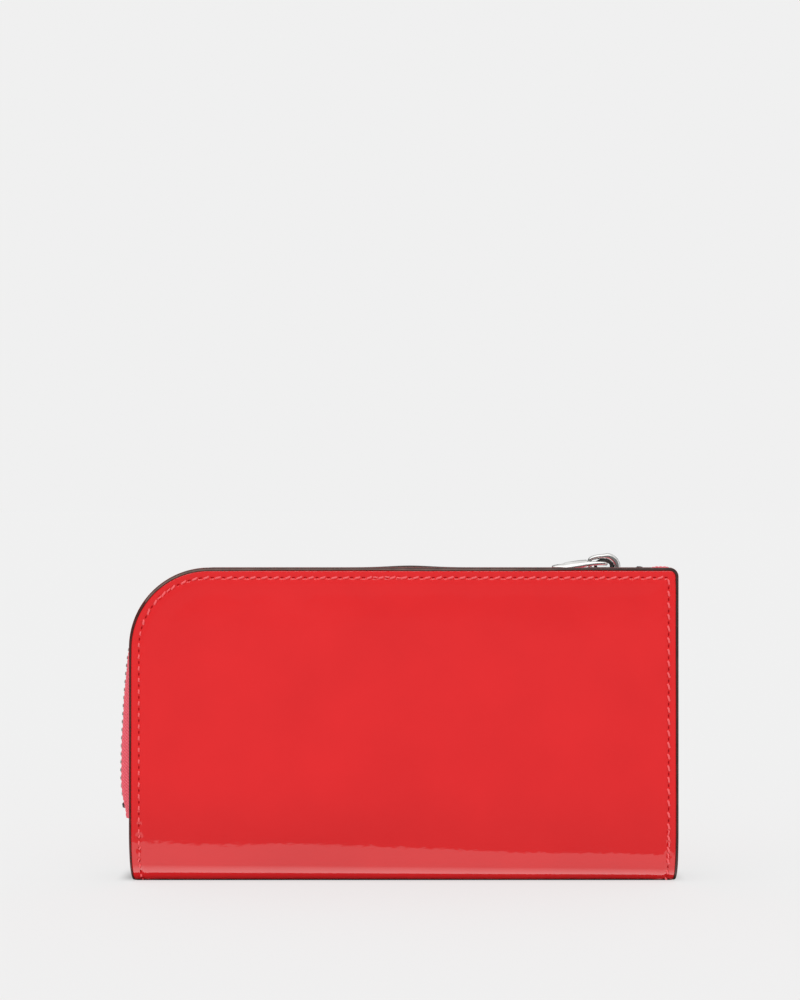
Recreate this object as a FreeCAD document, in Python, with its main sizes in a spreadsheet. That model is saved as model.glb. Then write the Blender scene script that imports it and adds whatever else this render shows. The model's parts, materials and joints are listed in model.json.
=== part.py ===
"""Zip around wallet: two leather panels joined by a rolled bottom fold, closed along the top, round one
corner and down the left side by a metal zip, with a zipped coin pocket as the divider inside.

Frame, in millimetres: origin at the middle of the flat underside of the bottom fold, +X along the
wallet to the closed side, +Y from the back panel to the front panel, +Z up.
"""
import FreeCAD, Part
import math
import os
import Sketcher
from FreeCAD import Placement, Rotation, Vector

doc = FreeCAD.newDocument("ZipAroundWallet")
sheet = doc.addObject("Spreadsheet::Sheet", "Sizes")

# Driving dimensions: alias and value, in millimetres, degrees or pieces.
DRIVING_SIZES = [
    ("wallet_width", 165),
    ("wallet_height", 94.5),
    ("wallet_depth", 22),
    ("zip_corner_radius", 24),
    ("plain_corner_radius", 2.7),
    ("fold_radius", 8),
    ("leather_thickness", 1.4),
    ("lining_thickness", 0.6),
    ("bead_width", 1.3),
    ("bead_proud", 0.1),
    ("bead_round", 0.45),
    ("stitch_inset", 3),
    ("stitch_pitch", 3.5),
    ("stitch_length", 2.2),
    ("stitch_width", 0.55),
    ("stitch_proud", 0.15),
    ("stitch_slant", 22),
    ("hinge_height", 16),
    ("zip_outer_drop", 1.4),
    ("zip_corner_arc", 25),
    ("zip_shoulder_arc", 61.3),
    ("zip_side_arc", 381),
    ("zip_tuck_arc", 50),
    ("zip_corner_sweep", 75),
    ("zip_shoulder_sweep", 84.5),
    ("zip_side_sweep", 89.3),
    ("zip_tuck_sweep", 106),
    ("zip_right_end", 81),
    ("tape_thickness", 0.5),
    ("tape_inset", 1.8),
    ("tooth_thickness", 2.6),
    ("tooth_inner_edge", 0.6),
    ("tooth_outer_edge", 3),
    ("tooth_width", 1.35),
    ("tooth_pitch", 2.45),
    ("tooth_head_width", 0.86),
    ("tape_overlap", 0.7),
    ("stop_thickness", 3),
    ("stop_width", 1.8),
    ("stop_proud", 0.2),
    ("stop_round", 0.25),
    ("top_stop_place", 72),
    ("bottom_stop_setback", 3.6),
    ("slider_place", 61),
    ("slider_length", 10.4),
    ("slider_width", 7.6),
    ("slider_plate", 1),
    ("slider_clearance", 0.2),
    ("slider_post_width", 0.7),
    ("slider_post_length", 3),
    ("slider_shoulder", 1.2),
    ("crown_height", 4.1),
    ("crown_bar", 1),
    ("crown_width", 2),
    ("crown_length", 9.6),
    ("pull_length", 16.3),
    ("pull_width", 5.2),
    ("pull_arm_gap", 2.8),
    ("pull_pin_radius", 0.6),
    ("pull_eye_radius", 0.85),
    ("pull_eye_height", 1.05),
    ("pull_tip_drop", 0.5),
    ("pull_tip_thickness", 0.6),
    ("pull_underside", 0.3),
    ("pull_window_gap", 1.5),
    ("pull_thins_from", 2.2),
    ("gusset_thickness", 0.5),
    ("gusset_gap", 0.25),
    ("gusset_outer", 79),
    ("gusset_inner", 65.5),
    ("gusset_left_top", 72),
    ("gusset_right_top", 88),
    ("gusset_bottom", 9),
    ("slip_pocket_width", 124),
    ("slip_pocket_top", 82),
    ("slip_pocket_thickness", 0.5),
    ("pocket_bottom", 13),
    ("card_slot_count", 4),
    ("card_slot_width", 94),
    ("card_slot_thickness", 0.4),
    ("card_slot_top", 75),
    ("card_slot_step", 11),
    ("coin_pocket_half_width", 64.5),
    ("coin_pocket_depth", 4.4),
    ("coin_wall_thickness", 0.8),
    ("coin_pocket_bottom", 12),
    ("coin_pocket_top", 85),
    ("coin_seam_width", 3),
    ("coin_tape_thickness", 0.4),
    ("coin_tape_inner", 0.9),
    ("coin_coil_radius", 0.55),
    ("coin_coil_offset", 1.05),
    ("coin_zip_half_length", 60),
    ("coin_stop_width", 1.6),
    ("coin_stop_half_depth", 1.3),
    ("coin_stop_low", 0.5),
    ("coin_stop_high", 0.9),
    ("coin_slider_place", 50),
    ("coin_slider_length", 7.5),
    ("coin_slider_width", 4.2),
    ("coin_slider_inner_width", 2.2),
    ("coin_slider_plate", 0.6),
    ("coin_slider_gap", 0.25),
    ("coin_slider_post_length", 2.2),
    ("coin_slider_post_width", 0.5),
    ("coin_crown_height", 1.6),
    ("coin_crown_bar", 0.6),
    ("coin_crown_width", 1.2),
    ("coin_crown_length", 5.2),
    ("coin_pull_length", 14),
    ("coin_pull_width", 4),
    ("coin_pull_thickness", 0.7),
    ("coin_pull_gap", 0.15),
    ("coin_pull_round", 1.2),
    ("coin_pull_window_start", 0.9),
    ("coin_pull_window_end", 3.4),
    ("coin_pull_window_width", 1.7),
]
for row, (alias, value) in enumerate(DRIVING_SIZES, start=1):
    sheet.set(f"A{row}", alias)
    sheet.set(f"B{row}", str(value))
    sheet.setAlias(f"B{row}", alias)
doc.recompute()

BACK, FRONT = -1, 1
SIDES = {"back": BACK, "front": FRONT}
subparts = []


def size(alias):
    """The number in the sheet's cell of this alias."""
    return float(getattr(sheet, alias))


def bound(expression):
    """The expression with every alias pointed at its cell."""
    words = expression.split(" ")
    return " ".join(f"Sizes.{word}" if hasattr(sheet, word) else word for word in words)


def finished(part, label):
    """Name a sub-part and put it on the list that is written out."""
    part.Label = label
    subparts.append(part)
    return part


# Building blocks -------------------------------------------------------------------------------

def new_body(label):
    """An empty PartDesign body on the list of sub-parts."""
    return finished(doc.addObject("PartDesign::Body", label), label)


def sketch_on(body, role, name):
    """A sketch on one of the body's own origin planes."""
    plane = next(item for item in body.Origin.OriginFeatures if item.Role == role)
    sketch = body.newObject("Sketcher::SketchObject", name)
    sketch.AttachmentSupport = [(plane, "")]
    sketch.MapMode = "FlatFace"
    return sketch


def constrain(sketch, kind, *where):
    """A constraint between parts of the sketch's geometry."""
    return sketch.addConstraint(Sketcher.Constraint(kind, *where))


def dimension(sketch, kind, *where, size_from):
    """A dimension of the sketch, bound to the sheet."""
    expression = bound(size_from)
    number = constrain(sketch, kind, *where, float(sketch.evalExpression(expression)))
    sketch.setExpression(f"Constraints[{number}]", expression)


def panel_outline(sketch, inset, bottom):
    """The panel's outline: square at the bottom, one large and one small round corner at the top.

    inset and bottom are expressions: how far inside the wallet's outline it runs, and the height of
    its lower edge.
    """
    edge = size("bead_width") if inset != "0" else 0
    half = size("wallet_width") / 2 - edge
    top = size("wallet_height") - edge
    low = size("fold_radius")
    large = size("zip_corner_radius") - edge
    small = size("plain_corner_radius") - edge
    right_angle = math.pi / 2
    axis = Vector(0, 0, 1)
    small_centre = Vector(half - small, top - small, 0)
    large_centre = Vector(-half + large, top - large, 0)
    outline = [
        Part.LineSegment(Vector(-half, low, 0), Vector(half, low, 0)),
        Part.LineSegment(Vector(half, low, 0), Vector(half, top - small, 0)),
        Part.ArcOfCircle(Part.Circle(small_centre, axis, small), 0, right_angle),
        Part.LineSegment(Vector(half - small, top, 0), Vector(-half + large, top, 0)),
        Part.ArcOfCircle(Part.Circle(large_centre, axis, large), right_angle, math.pi),
        Part.LineSegment(Vector(-half, top - large, 0), Vector(-half, low, 0)),
    ]
    geometry = [sketch.addGeometry(item, False) for item in outline]
    base, right, small_arc, ceiling, large_arc, left = geometry
    start, end, origin = 1, 2, -1
    for kind, where in [
        ("Coincident", (base, end, right, start)),
        ("Coincident", (left, end, base, start)),
        ("Tangent", (right, end, small_arc, start)),
        ("Tangent", (small_arc, end, ceiling, start)),
        ("Tangent", (ceiling, end, large_arc, start)),
        ("Tangent", (large_arc, end, left, start)),
        ("Horizontal", (base,)),
        ("Horizontal", (ceiling,)),
        ("Vertical", (right,)),
        ("Vertical", (left,)),
    ]:
        constrain(sketch, kind, *where)
    dimension(sketch, "DistanceX", base, start, origin, 1, size_from=f"wallet_width / 2 - {inset}")
    dimension(sketch, "DistanceX", origin, 1, base, end, size_from=f"wallet_width / 2 - {inset}")
    dimension(sketch, "DistanceY", origin, 1, base, start, size_from=bottom)
    dimension(sketch, "DistanceY", origin, 1, ceiling, start, size_from=f"wallet_height - {inset}")
    dimension(sketch, "Radius", small_arc, size_from=f"plain_corner_radius - {inset}")
    dimension(sketch, "Radius", large_arc, size_from=f"zip_corner_radius - {inset}")


def pad(body, sketch, thickness, name):
    """A pad towards +Y of a sketch on the XZ plane, or upwards of one on the XY plane."""
    feature = body.newObject("PartDesign::Pad", name)
    feature.Profile = sketch
    feature.setExpression("Length", bound(thickness))
    feature.Reversed = "XZ" in sketch.AttachmentSupport[0][0].Role
    sketch.Visibility = False
    return feature


def box(label, low, high):
    """A block between two corners, each corner three expressions."""
    part = finished(doc.addObject("Part::Box", label), label)
    for name, start, end in zip(("Length", "Width", "Height"), low, high):
        part.setExpression(name, bound(f"( {end} ) - ( {start} )"))
    for name, start in zip("xyz", low):
        part.setExpression(f"Placement.Base.{name}", bound(start))
    return part


def shaped(label, shape, along_x=0):
    """A sub-part whose shape is worked out from the sheet by this file, moved along_x into place."""
    part = finished(doc.addObject("Part::Feature", label), label)
    part.Shape = shape
    part.Placement = Placement(Vector(along_x, 0, 0), Rotation()).multiply(shape.Placement)
    return part


def block(x_low, x_high, y_low, y_high, z_low, z_high):
    """A plain box shape between these limits."""
    corner = Vector(x_low, y_low, z_low)
    return Part.makeBox(x_high - x_low, y_high - y_low, z_high - z_low, corner)


def mirrored(shape):
    """The shape on the other side of the wallet's middle plane."""
    return shape.mirror(Vector(0, 0, 0), Vector(0, 1, 0))


def on_side(shape_at_back, side):
    """A shape modelled at the back, moved to the front when side asks for it."""
    return shape_at_back if side == BACK else mirrored(shape_at_back)


# The zip's path --------------------------------------------------------------------------------

def polar(centre, radius, turn):
    """The point at this turn, in degrees, from straight up towards -X about a centre (x, z)."""
    angle = math.radians(turn)
    return (centre[0] - radius * math.sin(angle), centre[1] + radius * math.cos(angle))


def zip_arcs():
    """The arcs after the zip's straight top run, each (centre, outer radius, first turn, last turn)."""
    radius = size("zip_corner_arc")
    corner_x = -size("wallet_width") / 2 + size("zip_corner_radius")
    centre = (corner_x, size("wallet_height") - size("zip_outer_drop") - radius)
    arcs = [(centre, radius, 0, size("zip_corner_sweep"))]
    for name in ("shoulder", "side", "tuck"):
        centre, radius, _, turn = arcs[-1]
        next_radius = size(f"zip_{name}_arc")
        next_centre = polar(centre, radius - next_radius, turn)
        arcs.append((next_centre, next_radius, turn, size(f"zip_{name}_sweep")))
    return arcs


def zip_place(distance, depth):
    """Point (x, z) and turn at this distance from the zip's right end, depth under its outer face."""
    arcs = zip_arcs()
    straight = size("zip_right_end") - arcs[0][0][0]
    top = size("wallet_height") - size("zip_outer_drop")
    if distance <= straight:
        return (size("zip_right_end") - distance, top - depth), 0
    distance -= straight
    for centre, radius, first, last in arcs:
        length = math.radians(last - first) * radius
        if distance <= length or last == arcs[-1][3]:
            turn = first + math.degrees(distance / radius)
            return polar(centre, radius - depth, turn), turn
        distance -= length


def zip_length():
    """Length of the zip's path along its outer face."""
    arcs = zip_arcs()
    straight = size("zip_right_end") - arcs[0][0][0]
    return straight + sum(math.radians(last - first) * radius for _, radius, first, last in arcs)


def zip_edge(depth, y, right_end):
    """Edges along the zip at this depth under its outer face, from its right end to its lower end."""
    arcs = zip_arcs()
    top = size("wallet_height") - size("zip_outer_drop") - depth
    edges = [Part.makeLine(Vector(right_end, y, top), Vector(arcs[0][0][0], y, top))]
    for centre, radius, first, last in arcs:
        points = [polar(centre, radius - depth, turn) for turn in (first, (first + last) / 2, last)]
        edges.append(Part.Arc(*[Vector(x, y, z) for x, z in points]).toShape())
    return edges


def seam_edge(depth, y, right_end):
    """Edges along the tape's sewn side, which keeps inside the panel's own outline."""
    arcs = zip_arcs()
    top = size("wallet_height") - size("tape_inset") - depth
    centre = (arcs[0][0][0], size("wallet_height") - size("zip_corner_radius"))
    radius = size("zip_corner_radius") - size("tape_inset") - depth
    sweep = size("zip_corner_sweep")
    corner = [polar(centre, radius, turn) for turn in (0, sweep / 2, sweep)]
    side_x = centre[0] - radius
    below = [Vector(side_x, y, polar(low_centre, low_radius, last)[1])
             for low_centre, low_radius, _, last in arcs[1:]]
    points = [Vector(corner[2][0], y, corner[2][1])] + below
    edges = [
        Part.makeLine(Vector(right_end, y, top), Vector(corner[0][0], y, top)),
        Part.Arc(*[Vector(x, y, z) for x, z in corner]).toShape(),
    ]
    return edges + [Part.makeLine(upper, lower) for upper, lower in zip(points, points[1:])]


def ribbon(outer_edges, inner_edges):
    """The closed wire round a thin band between two rows of edges."""
    ends = [
        Part.makeLine(outer_edges[-1].lastVertex().Point, inner_edges[-1].lastVertex().Point),
        Part.makeLine(outer_edges[0].firstVertex().Point, inner_edges[0].firstVertex().Point),
    ]
    return Part.Wire(Part.__sortEdges__(outer_edges + [ends[0]] + inner_edges + [ends[1]]))


# Panels ----------------------------------------------------------------------------------------

def slab(label, side, thickness, outer_depth, inset):
    """A sheet of the panel's outline, its outer face outer_depth under the wallet's outer face."""
    body = new_body(label)
    sketch = sketch_on(body, "XZ_Plane", f"{label}_outline")
    panel_outline(sketch, inset, "fold_radius")
    body.Tip = pad(body, sketch, thickness, f"{label}_pad")
    if side == BACK:
        body.setExpression("Placement.Base.y", bound(f"- wallet_depth / 2 + {outer_depth}"))
    else:
        body.setExpression("Placement.Base.y", bound(f"wallet_depth / 2 - {outer_depth} - ( {thickness} )"))
    return body


def edge_bead(label, side):
    """The domed painted edge round the left, top and right of a panel and its lining."""
    thickness = "leather_thickness + lining_thickness + bead_proud"
    body = slab(label, side, thickness, "bead_proud * -1", "0")
    doc.recompute()
    full = body.Tip.Shape.Volume
    window = sketch_on(body, "XZ_Plane", f"{label}_window")
    panel_outline(window, "bead_width", "fold_radius - 1")
    pocket = body.newObject("PartDesign::Pocket", f"{label}_pocket")
    pocket.Profile = window
    pocket.Type = "ThroughAll"
    pocket.Midplane = True
    body.Tip = pocket
    doc.recompute()
    if not pocket.Shape.Volume < 0.2 * full:
        raise RuntimeError(f"{label}: the window did not cut the bead's sheet")
    faces_y = (pocket.Shape.BoundBox.YMin, pocket.Shape.BoundBox.YMax)
    outer_y = faces_y[0] if side == BACK else faces_y[1]
    long_edges = [
        f"Edge{number}"
        for number, edge in enumerate(pocket.Shape.Edges, start=1)
        if abs(edge.BoundBox.YMin - outer_y) < 0.01 and abs(edge.BoundBox.YMax - outer_y) < 0.01
        and edge.Length > size("bead_width") + 0.3
    ]
    rounding = body.newObject("PartDesign::Fillet", f"{label}_rounding")
    rounding.Base = (pocket, long_edges)
    rounding.setExpression("Radius", bound("bead_round"))
    body.Tip = rounding
    return body


def stitch_places():
    """Middle (x, z) and turn of every stitch: up the left, round the corner, along the top, down."""
    inset = size("stitch_inset")
    half = size("wallet_width") / 2 - inset
    top = size("wallet_height") - inset
    low = size("fold_radius") + 1
    radius = size("zip_corner_radius") - inset
    corner = (-half + radius, top - radius)
    left_run = corner[1] - low
    corner_run = radius * math.pi / 2
    top_run = half - corner[0]
    total = left_run + corner_run + top_run + top - low
    count = round(total / size("stitch_pitch"))
    for number in range(count):
        along = (number + 0.5) * total / count
        if along < left_run:
            yield (-half, low + along), 90
        elif along < left_run + corner_run:
            turn = 90 - math.degrees((along - left_run) / radius)
            yield polar(corner, radius, turn), turn
        elif along < left_run + corner_run + top_run:
            yield (corner[0] + along - left_run - corner_run, top), 0
        else:
            yield (half, top - (along - left_run - corner_run - top_run)), -90


def stitching(label, side):
    """The thread stitches of one panel, each slanted and half sunk in the leather."""
    length, width, proud = size("stitch_length"), size("stitch_width"), size("stitch_proud")
    outer = size("wallet_depth") / 2
    stitches = []
    for (x, z), turn in stitch_places():
        stitch = block(-length / 2, length / 2, -outer - proud, -outer + proud, -width / 2, width / 2)
        stitch.rotate(Vector(0, 0, 0), Vector(0, -1, 0), turn + size("stitch_slant"))
        stitch.translate(Vector(x, 0, z))
        stitches.append(stitch)
    shaped(label, on_side(Part.makeCompound(stitches), side))


def fold_round(label, side):
    """The quarter round of the rolled leather bottom that turns up from its flat base into one panel."""
    body = new_body(label)
    sketch = sketch_on(body, "YZ_Plane", f"{label}_profile")
    half = size("wallet_depth") / 2
    radius = size("fold_radius")
    wall = size("leather_thickness") + size("lining_thickness")
    flat = half - radius
    axis = Vector(0, 0, 1)
    first = -math.pi if side == BACK else -math.pi / 2
    middle_point = Vector(side * flat, radius, 0)
    outline = [Part.ArcOfCircle(Part.Circle(middle_point, axis, reach), first, first + math.pi / 2)
               for reach in (radius, radius - wall)]
    outline += [
        Part.LineSegment(Vector(side * flat, 0, 0), Vector(side * flat, wall, 0)),
        Part.LineSegment(Vector(side * half, radius, 0), Vector(side * (half - wall), radius, 0)),
    ]
    outer, inner, base_end, panel_end = [sketch.addGeometry(item, False) for item in outline]
    start, end, middle, origin = 1, 2, 3, -1
    at_base, at_panel = (end, start) if side == BACK else (start, end)
    for kind, where in [
        ("Coincident", (outer, at_base, base_end, start)),
        ("Coincident", (inner, at_base, base_end, end)),
        ("Coincident", (outer, at_panel, panel_end, start)),
        ("Coincident", (inner, at_panel, panel_end, end)),
        ("Coincident", (outer, middle, inner, middle)),
        ("Vertical", (base_end,)),
        ("Horizontal", (panel_end,)),
        ("Vertical", (outer, middle, base_end, start)),
        ("Horizontal", (outer, middle, panel_end, start)),
        ("PointOnObject", (base_end, start, origin)),
    ]:
        constrain(sketch, kind, *where)
    ends = (base_end, start, origin, 1) if side == BACK else (origin, 1, base_end, start)
    dimension(sketch, "DistanceX", *ends, size_from="wallet_depth / 2 - fold_radius")
    dimension(sketch, "Radius", outer, size_from="fold_radius")
    dimension(sketch, "Radius", inner, size_from="fold_radius - leather_thickness - lining_thickness")
    feature = pad(body, sketch, "wallet_width", f"{label}_pad")
    feature.Midplane = True
    body.Tip = feature


# Zip -------------------------------------------------------------------------------------------

def zip_tape(label, side):
    """The woven tape from the panel's lining to the teeth, leaning out where the zip stands proud."""
    middle = (size("tooth_thickness") - size("tape_thickness")) / 2
    seam_y = -size("wallet_depth") / 2 + size("leather_thickness") + size("lining_thickness")
    teeth_y = -size("tooth_inner_edge") - size("tape_overlap")
    thickness = size("tape_thickness")
    right_end = size("zip_right_end")
    sewn = ribbon(seam_edge(0, seam_y, right_end), seam_edge(thickness, seam_y, right_end))
    free = ribbon(zip_edge(middle, teeth_y, right_end), zip_edge(middle + thickness, teeth_y, right_end))
    tape = Part.makeLoft([sewn, free], True, True)
    shaped(label, on_side(tape, side))


def placed_on_zip(shape, distance):
    """A shape made at the origin, its top on the zip's outer face, moved to a place along the zip."""
    (x, z), turn = zip_place(distance, 0)
    moved = shape.copy()
    moved.rotate(Vector(0, 0, 0), Vector(0, -1, 0), turn)
    moved.translate(Vector(x, 0, z))
    return moved


def zip_teeth(label, side):
    """One row of metal teeth, each with a narrower head towards the other row."""
    width, deep = size("tooth_width"), size("tooth_thickness")
    inner, outer = -size("tooth_inner_edge"), -size("tooth_outer_edge")
    neck = (inner + outer) / 2
    half_head = size("tooth_head_width") / 2
    head = block(-half_head, half_head, neck, inner, -deep, 0)
    legs = block(-width / 2, width / 2, outer, neck, -deep, 0)
    tooth = head.fuse(legs).removeSplitter()
    first = size("zip_right_end") - size("top_stop_place") + size("tooth_pitch")
    last = zip_length() - size("bottom_stop_setback") - size("tooth_pitch")
    count = int((last - first) / size("tooth_pitch")) + 1
    offset = 0 if side == BACK else size("tooth_pitch") / 2
    places = [first + offset + number * size("tooth_pitch") for number in range(count)]
    row = Part.makeCompound([placed_on_zip(tooth, place) for place in places])
    shaped(label, on_side(row, side))


def zip_stop(label, side, distance):
    """A small metal clamp that ends the row of teeth."""
    half, proud = size("stop_width") / 2, size("stop_proud")
    outer, inner = -size("tooth_outer_edge"), -size("tooth_inner_edge")
    stop = block(-half, half, outer, inner, proud - size("stop_thickness"), proud)
    rim = [edge for edge in stop.Edges if edge.BoundBox.ZMin > proud - 0.01]
    stop = stop.makeFillet(size("stop_round"), rim)
    shaped(label, on_side(placed_on_zip(stop, distance), side))


def slider_heights():
    """Levels of the slider's plates: lower face and upper face of the outer and the inner plate."""
    top = size("wallet_height") - size("zip_outer_drop") + size("slider_clearance")
    under = top - size("tooth_thickness") - 2 * size("slider_clearance")
    return top, top + size("slider_plate"), under - size("slider_plate"), under


def slider_outline(length, width):
    """A slider plate's outline in the XY plane: blunt at its closed end, spread at its open end."""
    nose, mouth = -length / 2, length / 2
    half_widths = [
        (nose, 0.31 * width),
        (nose + 0.3 * length, 0.4 * width),
        (mouth - size("slider_shoulder"), 0.5 * width),
        (mouth, 0.35 * width),
    ]
    near = [Vector(x, -half, 0) for x, half in half_widths]
    far = [Vector(x, half, 0) for x, half in reversed(half_widths)]
    return Part.Face(Part.makePolygon(near + far + near[:1]))


def slider_body(label, place, levels, outer_size, inner_size, post_size):
    """Two plates joined by a post that runs between the rows."""
    outer_low, outer_high, inner_low, inner_high = levels
    upper = slider_outline(*outer_size).extrude(Vector(0, 0, outer_high - outer_low))
    upper.translate(Vector(0, 0, outer_low))
    rim = [edge for edge in upper.Edges if edge.BoundBox.ZMin > outer_high - 0.01]
    rounding = 0.3 * (outer_high - outer_low)
    upper = upper.makeFillet(rounding, rim)
    lower = slider_outline(*inner_size).extrude(Vector(0, 0, inner_high - inner_low))
    lower.translate(Vector(0, 0, inner_low))
    post_length, post_width = post_size
    post = block(-post_length / 2, post_length / 2, -post_width / 2, post_width / 2,
                 inner_high - 0.1, outer_low + 0.1)
    shaped(label, upper.fuse([lower, post]).removeSplitter(), place)


def crown(label, place, base, height, bar, width, length):
    """The arch on a slider that its pull hangs from."""
    half = length / 2
    outer_round = min(1.6 * bar, 0.55 * height)
    outer = arch_wire(half, base, height, outer_round)
    inner = arch_wire(half - bar, base, height - bar, 0.6 * outer_round)
    arch = Part.Face(outer).cut(Part.Face(inner)).extrude(Vector(0, width, 0))
    arch.translate(Vector(0, -width / 2, 0))
    shaped(label, arch, place)


def arch_wire(half, base, height, corner):
    """A closed outline in the XZ plane: flat foot, upright sides, rounded shoulders."""
    top = base + height
    bend = corner * (1 - math.sqrt(0.5))
    left_arc = Part.Arc(Vector(-half, 0, top - corner), Vector(-half + bend, 0, top - bend),
                        Vector(-half + corner, 0, top))
    right_arc = Part.Arc(Vector(half - corner, 0, top), Vector(half - bend, 0, top - bend),
                         Vector(half, 0, top - corner))
    return Part.Wire([
        Part.makeLine(Vector(-half, 0, base), Vector(-half, 0, top - corner)),
        left_arc.toShape(),
        Part.makeLine(Vector(-half + corner, 0, top), Vector(half - corner, 0, top)),
        right_arc.toShape(),
        Part.makeLine(Vector(half, 0, top - corner), Vector(half, 0, base)),
        Part.makeLine(Vector(half, 0, base), Vector(-half, 0, base)),
    ])


def pull_tab():
    """The slider's pull: a wedge that thins towards its tip, with a window round the crown."""
    plate_top = slider_heights()[1]
    eye_x, eye_z = size("slider_place") + 0.5, plate_top + size("pull_eye_height")
    eye_radius = size("pull_eye_radius")
    eye_top = eye_z + eye_radius
    tip_x = eye_x - size("pull_length")
    tip_thick = size("pull_tip_thickness")
    tip_low = size("wallet_height") - size("pull_tip_drop")
    underside = plate_top + size("pull_underside")
    window = size("crown_length") / 2 + size("pull_window_gap")
    outline = [
        (eye_x, underside),
        (eye_x - window - 0.3, underside - 0.02),
        (tip_x + tip_thick / 2, tip_low),
        (tip_x, tip_low + tip_thick / 2),
        (tip_x + tip_thick / 2, tip_low + tip_thick),
        (eye_x - size("pull_thins_from"), eye_top - 0.05),
        (eye_x, eye_top),
    ]
    points = [Vector(x, 0, z) for x, z in outline]
    width = size("pull_width")
    tab = Part.Face(Part.makePolygon(points + points[:1])).extrude(Vector(0, width, 0))
    tab = tab.fuse(Part.makeCylinder(eye_radius, width, Vector(eye_x, 0, eye_z), Vector(0, 1, 0)))
    tab.translate(Vector(0, -width / 2, 0))
    low, high = tip_low - 1, plate_top + 5
    gap = size("pull_arm_gap")
    opening = block(eye_x - window, eye_x + 2, -gap / 2, gap / 2, low, high)
    pin_start = Vector(eye_x, -gap / 2 - 0.5, eye_z)
    pin = Part.makeCylinder(size("pull_pin_radius"), gap + 1, pin_start, Vector(0, 1, 0))
    tip_centre = tip_x + width / 2
    round_tip = Part.makeCylinder(width / 2, high - low, Vector(tip_centre, 0, low))
    plan = block(tip_centre, eye_x + 3, -width / 2, width / 2, low, high).fuse(round_tip)
    shaped("pull_tab", tab.cut(opening).fuse(pin).common(plan).removeSplitter())
    return eye_x, eye_z


# Inside ----------------------------------------------------------------------------------------

def gusset(label, x_sign, top_alias):
    """The V pleat of one side, folded inwards between the two panels."""
    thickness = size("gusset_thickness")
    outer_x, inner_x = size("gusset_outer"), size("gusset_inner")
    walls = size("leather_thickness") + size("lining_thickness")
    reach = size("wallet_depth") / 2 - walls - size("gusset_gap")
    end_thick, fold_thick = 1.3 * thickness, 1.7 * thickness
    outline = [
        (outer_x, -reach),
        (inner_x, 0),
        (outer_x, reach),
        (outer_x + end_thick, reach),
        (inner_x + fold_thick, 0),
        (outer_x + end_thick, -reach),
    ]
    bottom = size("gusset_bottom")
    points = [Vector(x * x_sign, y, bottom) for x, y in outline]
    profile = Part.Face(Part.makePolygon(points + points[:1]))
    shaped(label, profile.extrude(Vector(0, 0, size(top_alias) - bottom)))


def pockets(name, side):
    """The wide slip pocket on a lining and the stepped card slots on the slip pocket."""
    lining = "leather_thickness + lining_thickness"
    half = "slip_pocket_width / 2"

    def sheet_at(label, half_width, top, outer, thickness):
        near = f"wallet_depth / 2 - {outer} - {thickness}"
        far = f"wallet_depth / 2 - {outer}"
        low_y, high_y = (near, far) if side == FRONT else (f"-1 * ( {far} )", f"-1 * ( {near} )")
        box(label, (f"-1 * {half_width}", low_y, "pocket_bottom"), (half_width, high_y, top))

    sheet_at(f"{name}_slip_pocket", half, "slip_pocket_top", f"( {lining} )", "slip_pocket_thickness")
    for number in range(int(size("card_slot_count"))):
        outer = f"( {lining} + slip_pocket_thickness + card_slot_thickness * {number} )"
        top = f"card_slot_top - card_slot_step * {number}"
        label = f"{name}_card_slot_{number + 1}"
        sheet_at(label, "card_slot_width / 2", top, outer, "card_slot_thickness")


def coin_pocket():
    """The divider: a flat pocket of two walls and a seam between them, closed by a coil zip on top."""
    half, depth = "coin_pocket_half_width", "coin_pocket_depth / 2"
    wall = "coin_wall_thickness"
    low, top = "coin_pocket_bottom", "coin_pocket_top"
    left = f"-1 * {half}"
    box("coin_pocket_back_wall", (left, f"-1 * {depth}", low), (half, f"-1 * {depth} + {wall}", top))
    box("coin_pocket_front_wall", (left, f"{depth} - {wall}", low), (half, depth, top))
    inner = size("coin_pocket_depth") / 2 - size("coin_wall_thickness")
    reach, seam = size("coin_pocket_half_width"), size("coin_seam_width")
    bottom, ceiling = size("coin_pocket_bottom"), size("coin_pocket_top")
    shaped("coin_pocket_bottom_seam", block(-reach, reach, -inner, inner, bottom, bottom + seam))
    for name, middle in (("left", seam / 2 - reach), ("right", reach - seam / 2)):
        strip = block(-seam / 2, seam / 2, -inner, inner, bottom + seam, ceiling - seam)
        shaped(f"coin_pocket_{name}_seam", strip, middle)
    for name, side in SIDES.items():
        tape_top = f"{top} + coin_tape_thickness"
        edge, outside = "coin_tape_inner", depth
        y_low, y_high = (edge, outside) if side == FRONT else (f"-1 * {outside}", f"-1 * {edge}")
        box(f"coin_zip_{name}_tape", (left, y_low, top), (half, y_high, tape_top))
        coil = doc.addObject("Part::Cylinder", f"coin_zip_{name}_coil")
        finished(coil, f"coin_zip_{name}_coil")
        coil.setExpression("Radius", bound("coin_coil_radius"))
        coil.setExpression("Height", bound("2 * coin_zip_half_length"))
        coil.Placement = Placement(Vector(0, 0, 0), Rotation(Vector(0, 1, 0), 90))
        coil.setExpression("Placement.Base.x", bound("-1 * coin_zip_half_length"))
        coil.setExpression("Placement.Base.y", bound(f"{side} * coin_coil_offset"))
        coil.setExpression("Placement.Base.z", bound(f"{top} + coin_tape_thickness / 2"))
    for name, sign in (("left", -1), ("right", 1)):
        half_stop, deep = size("coin_stop_width") / 2, size("coin_stop_half_depth")
        middle = sign * (size("coin_zip_half_length") + 1)
        stop = block(middle - half_stop, middle + half_stop, -deep, deep,
                     ceiling - size("coin_stop_low"), ceiling + size("coin_stop_high"))
        shaped(f"coin_zip_{name}_stop", stop)


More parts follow.
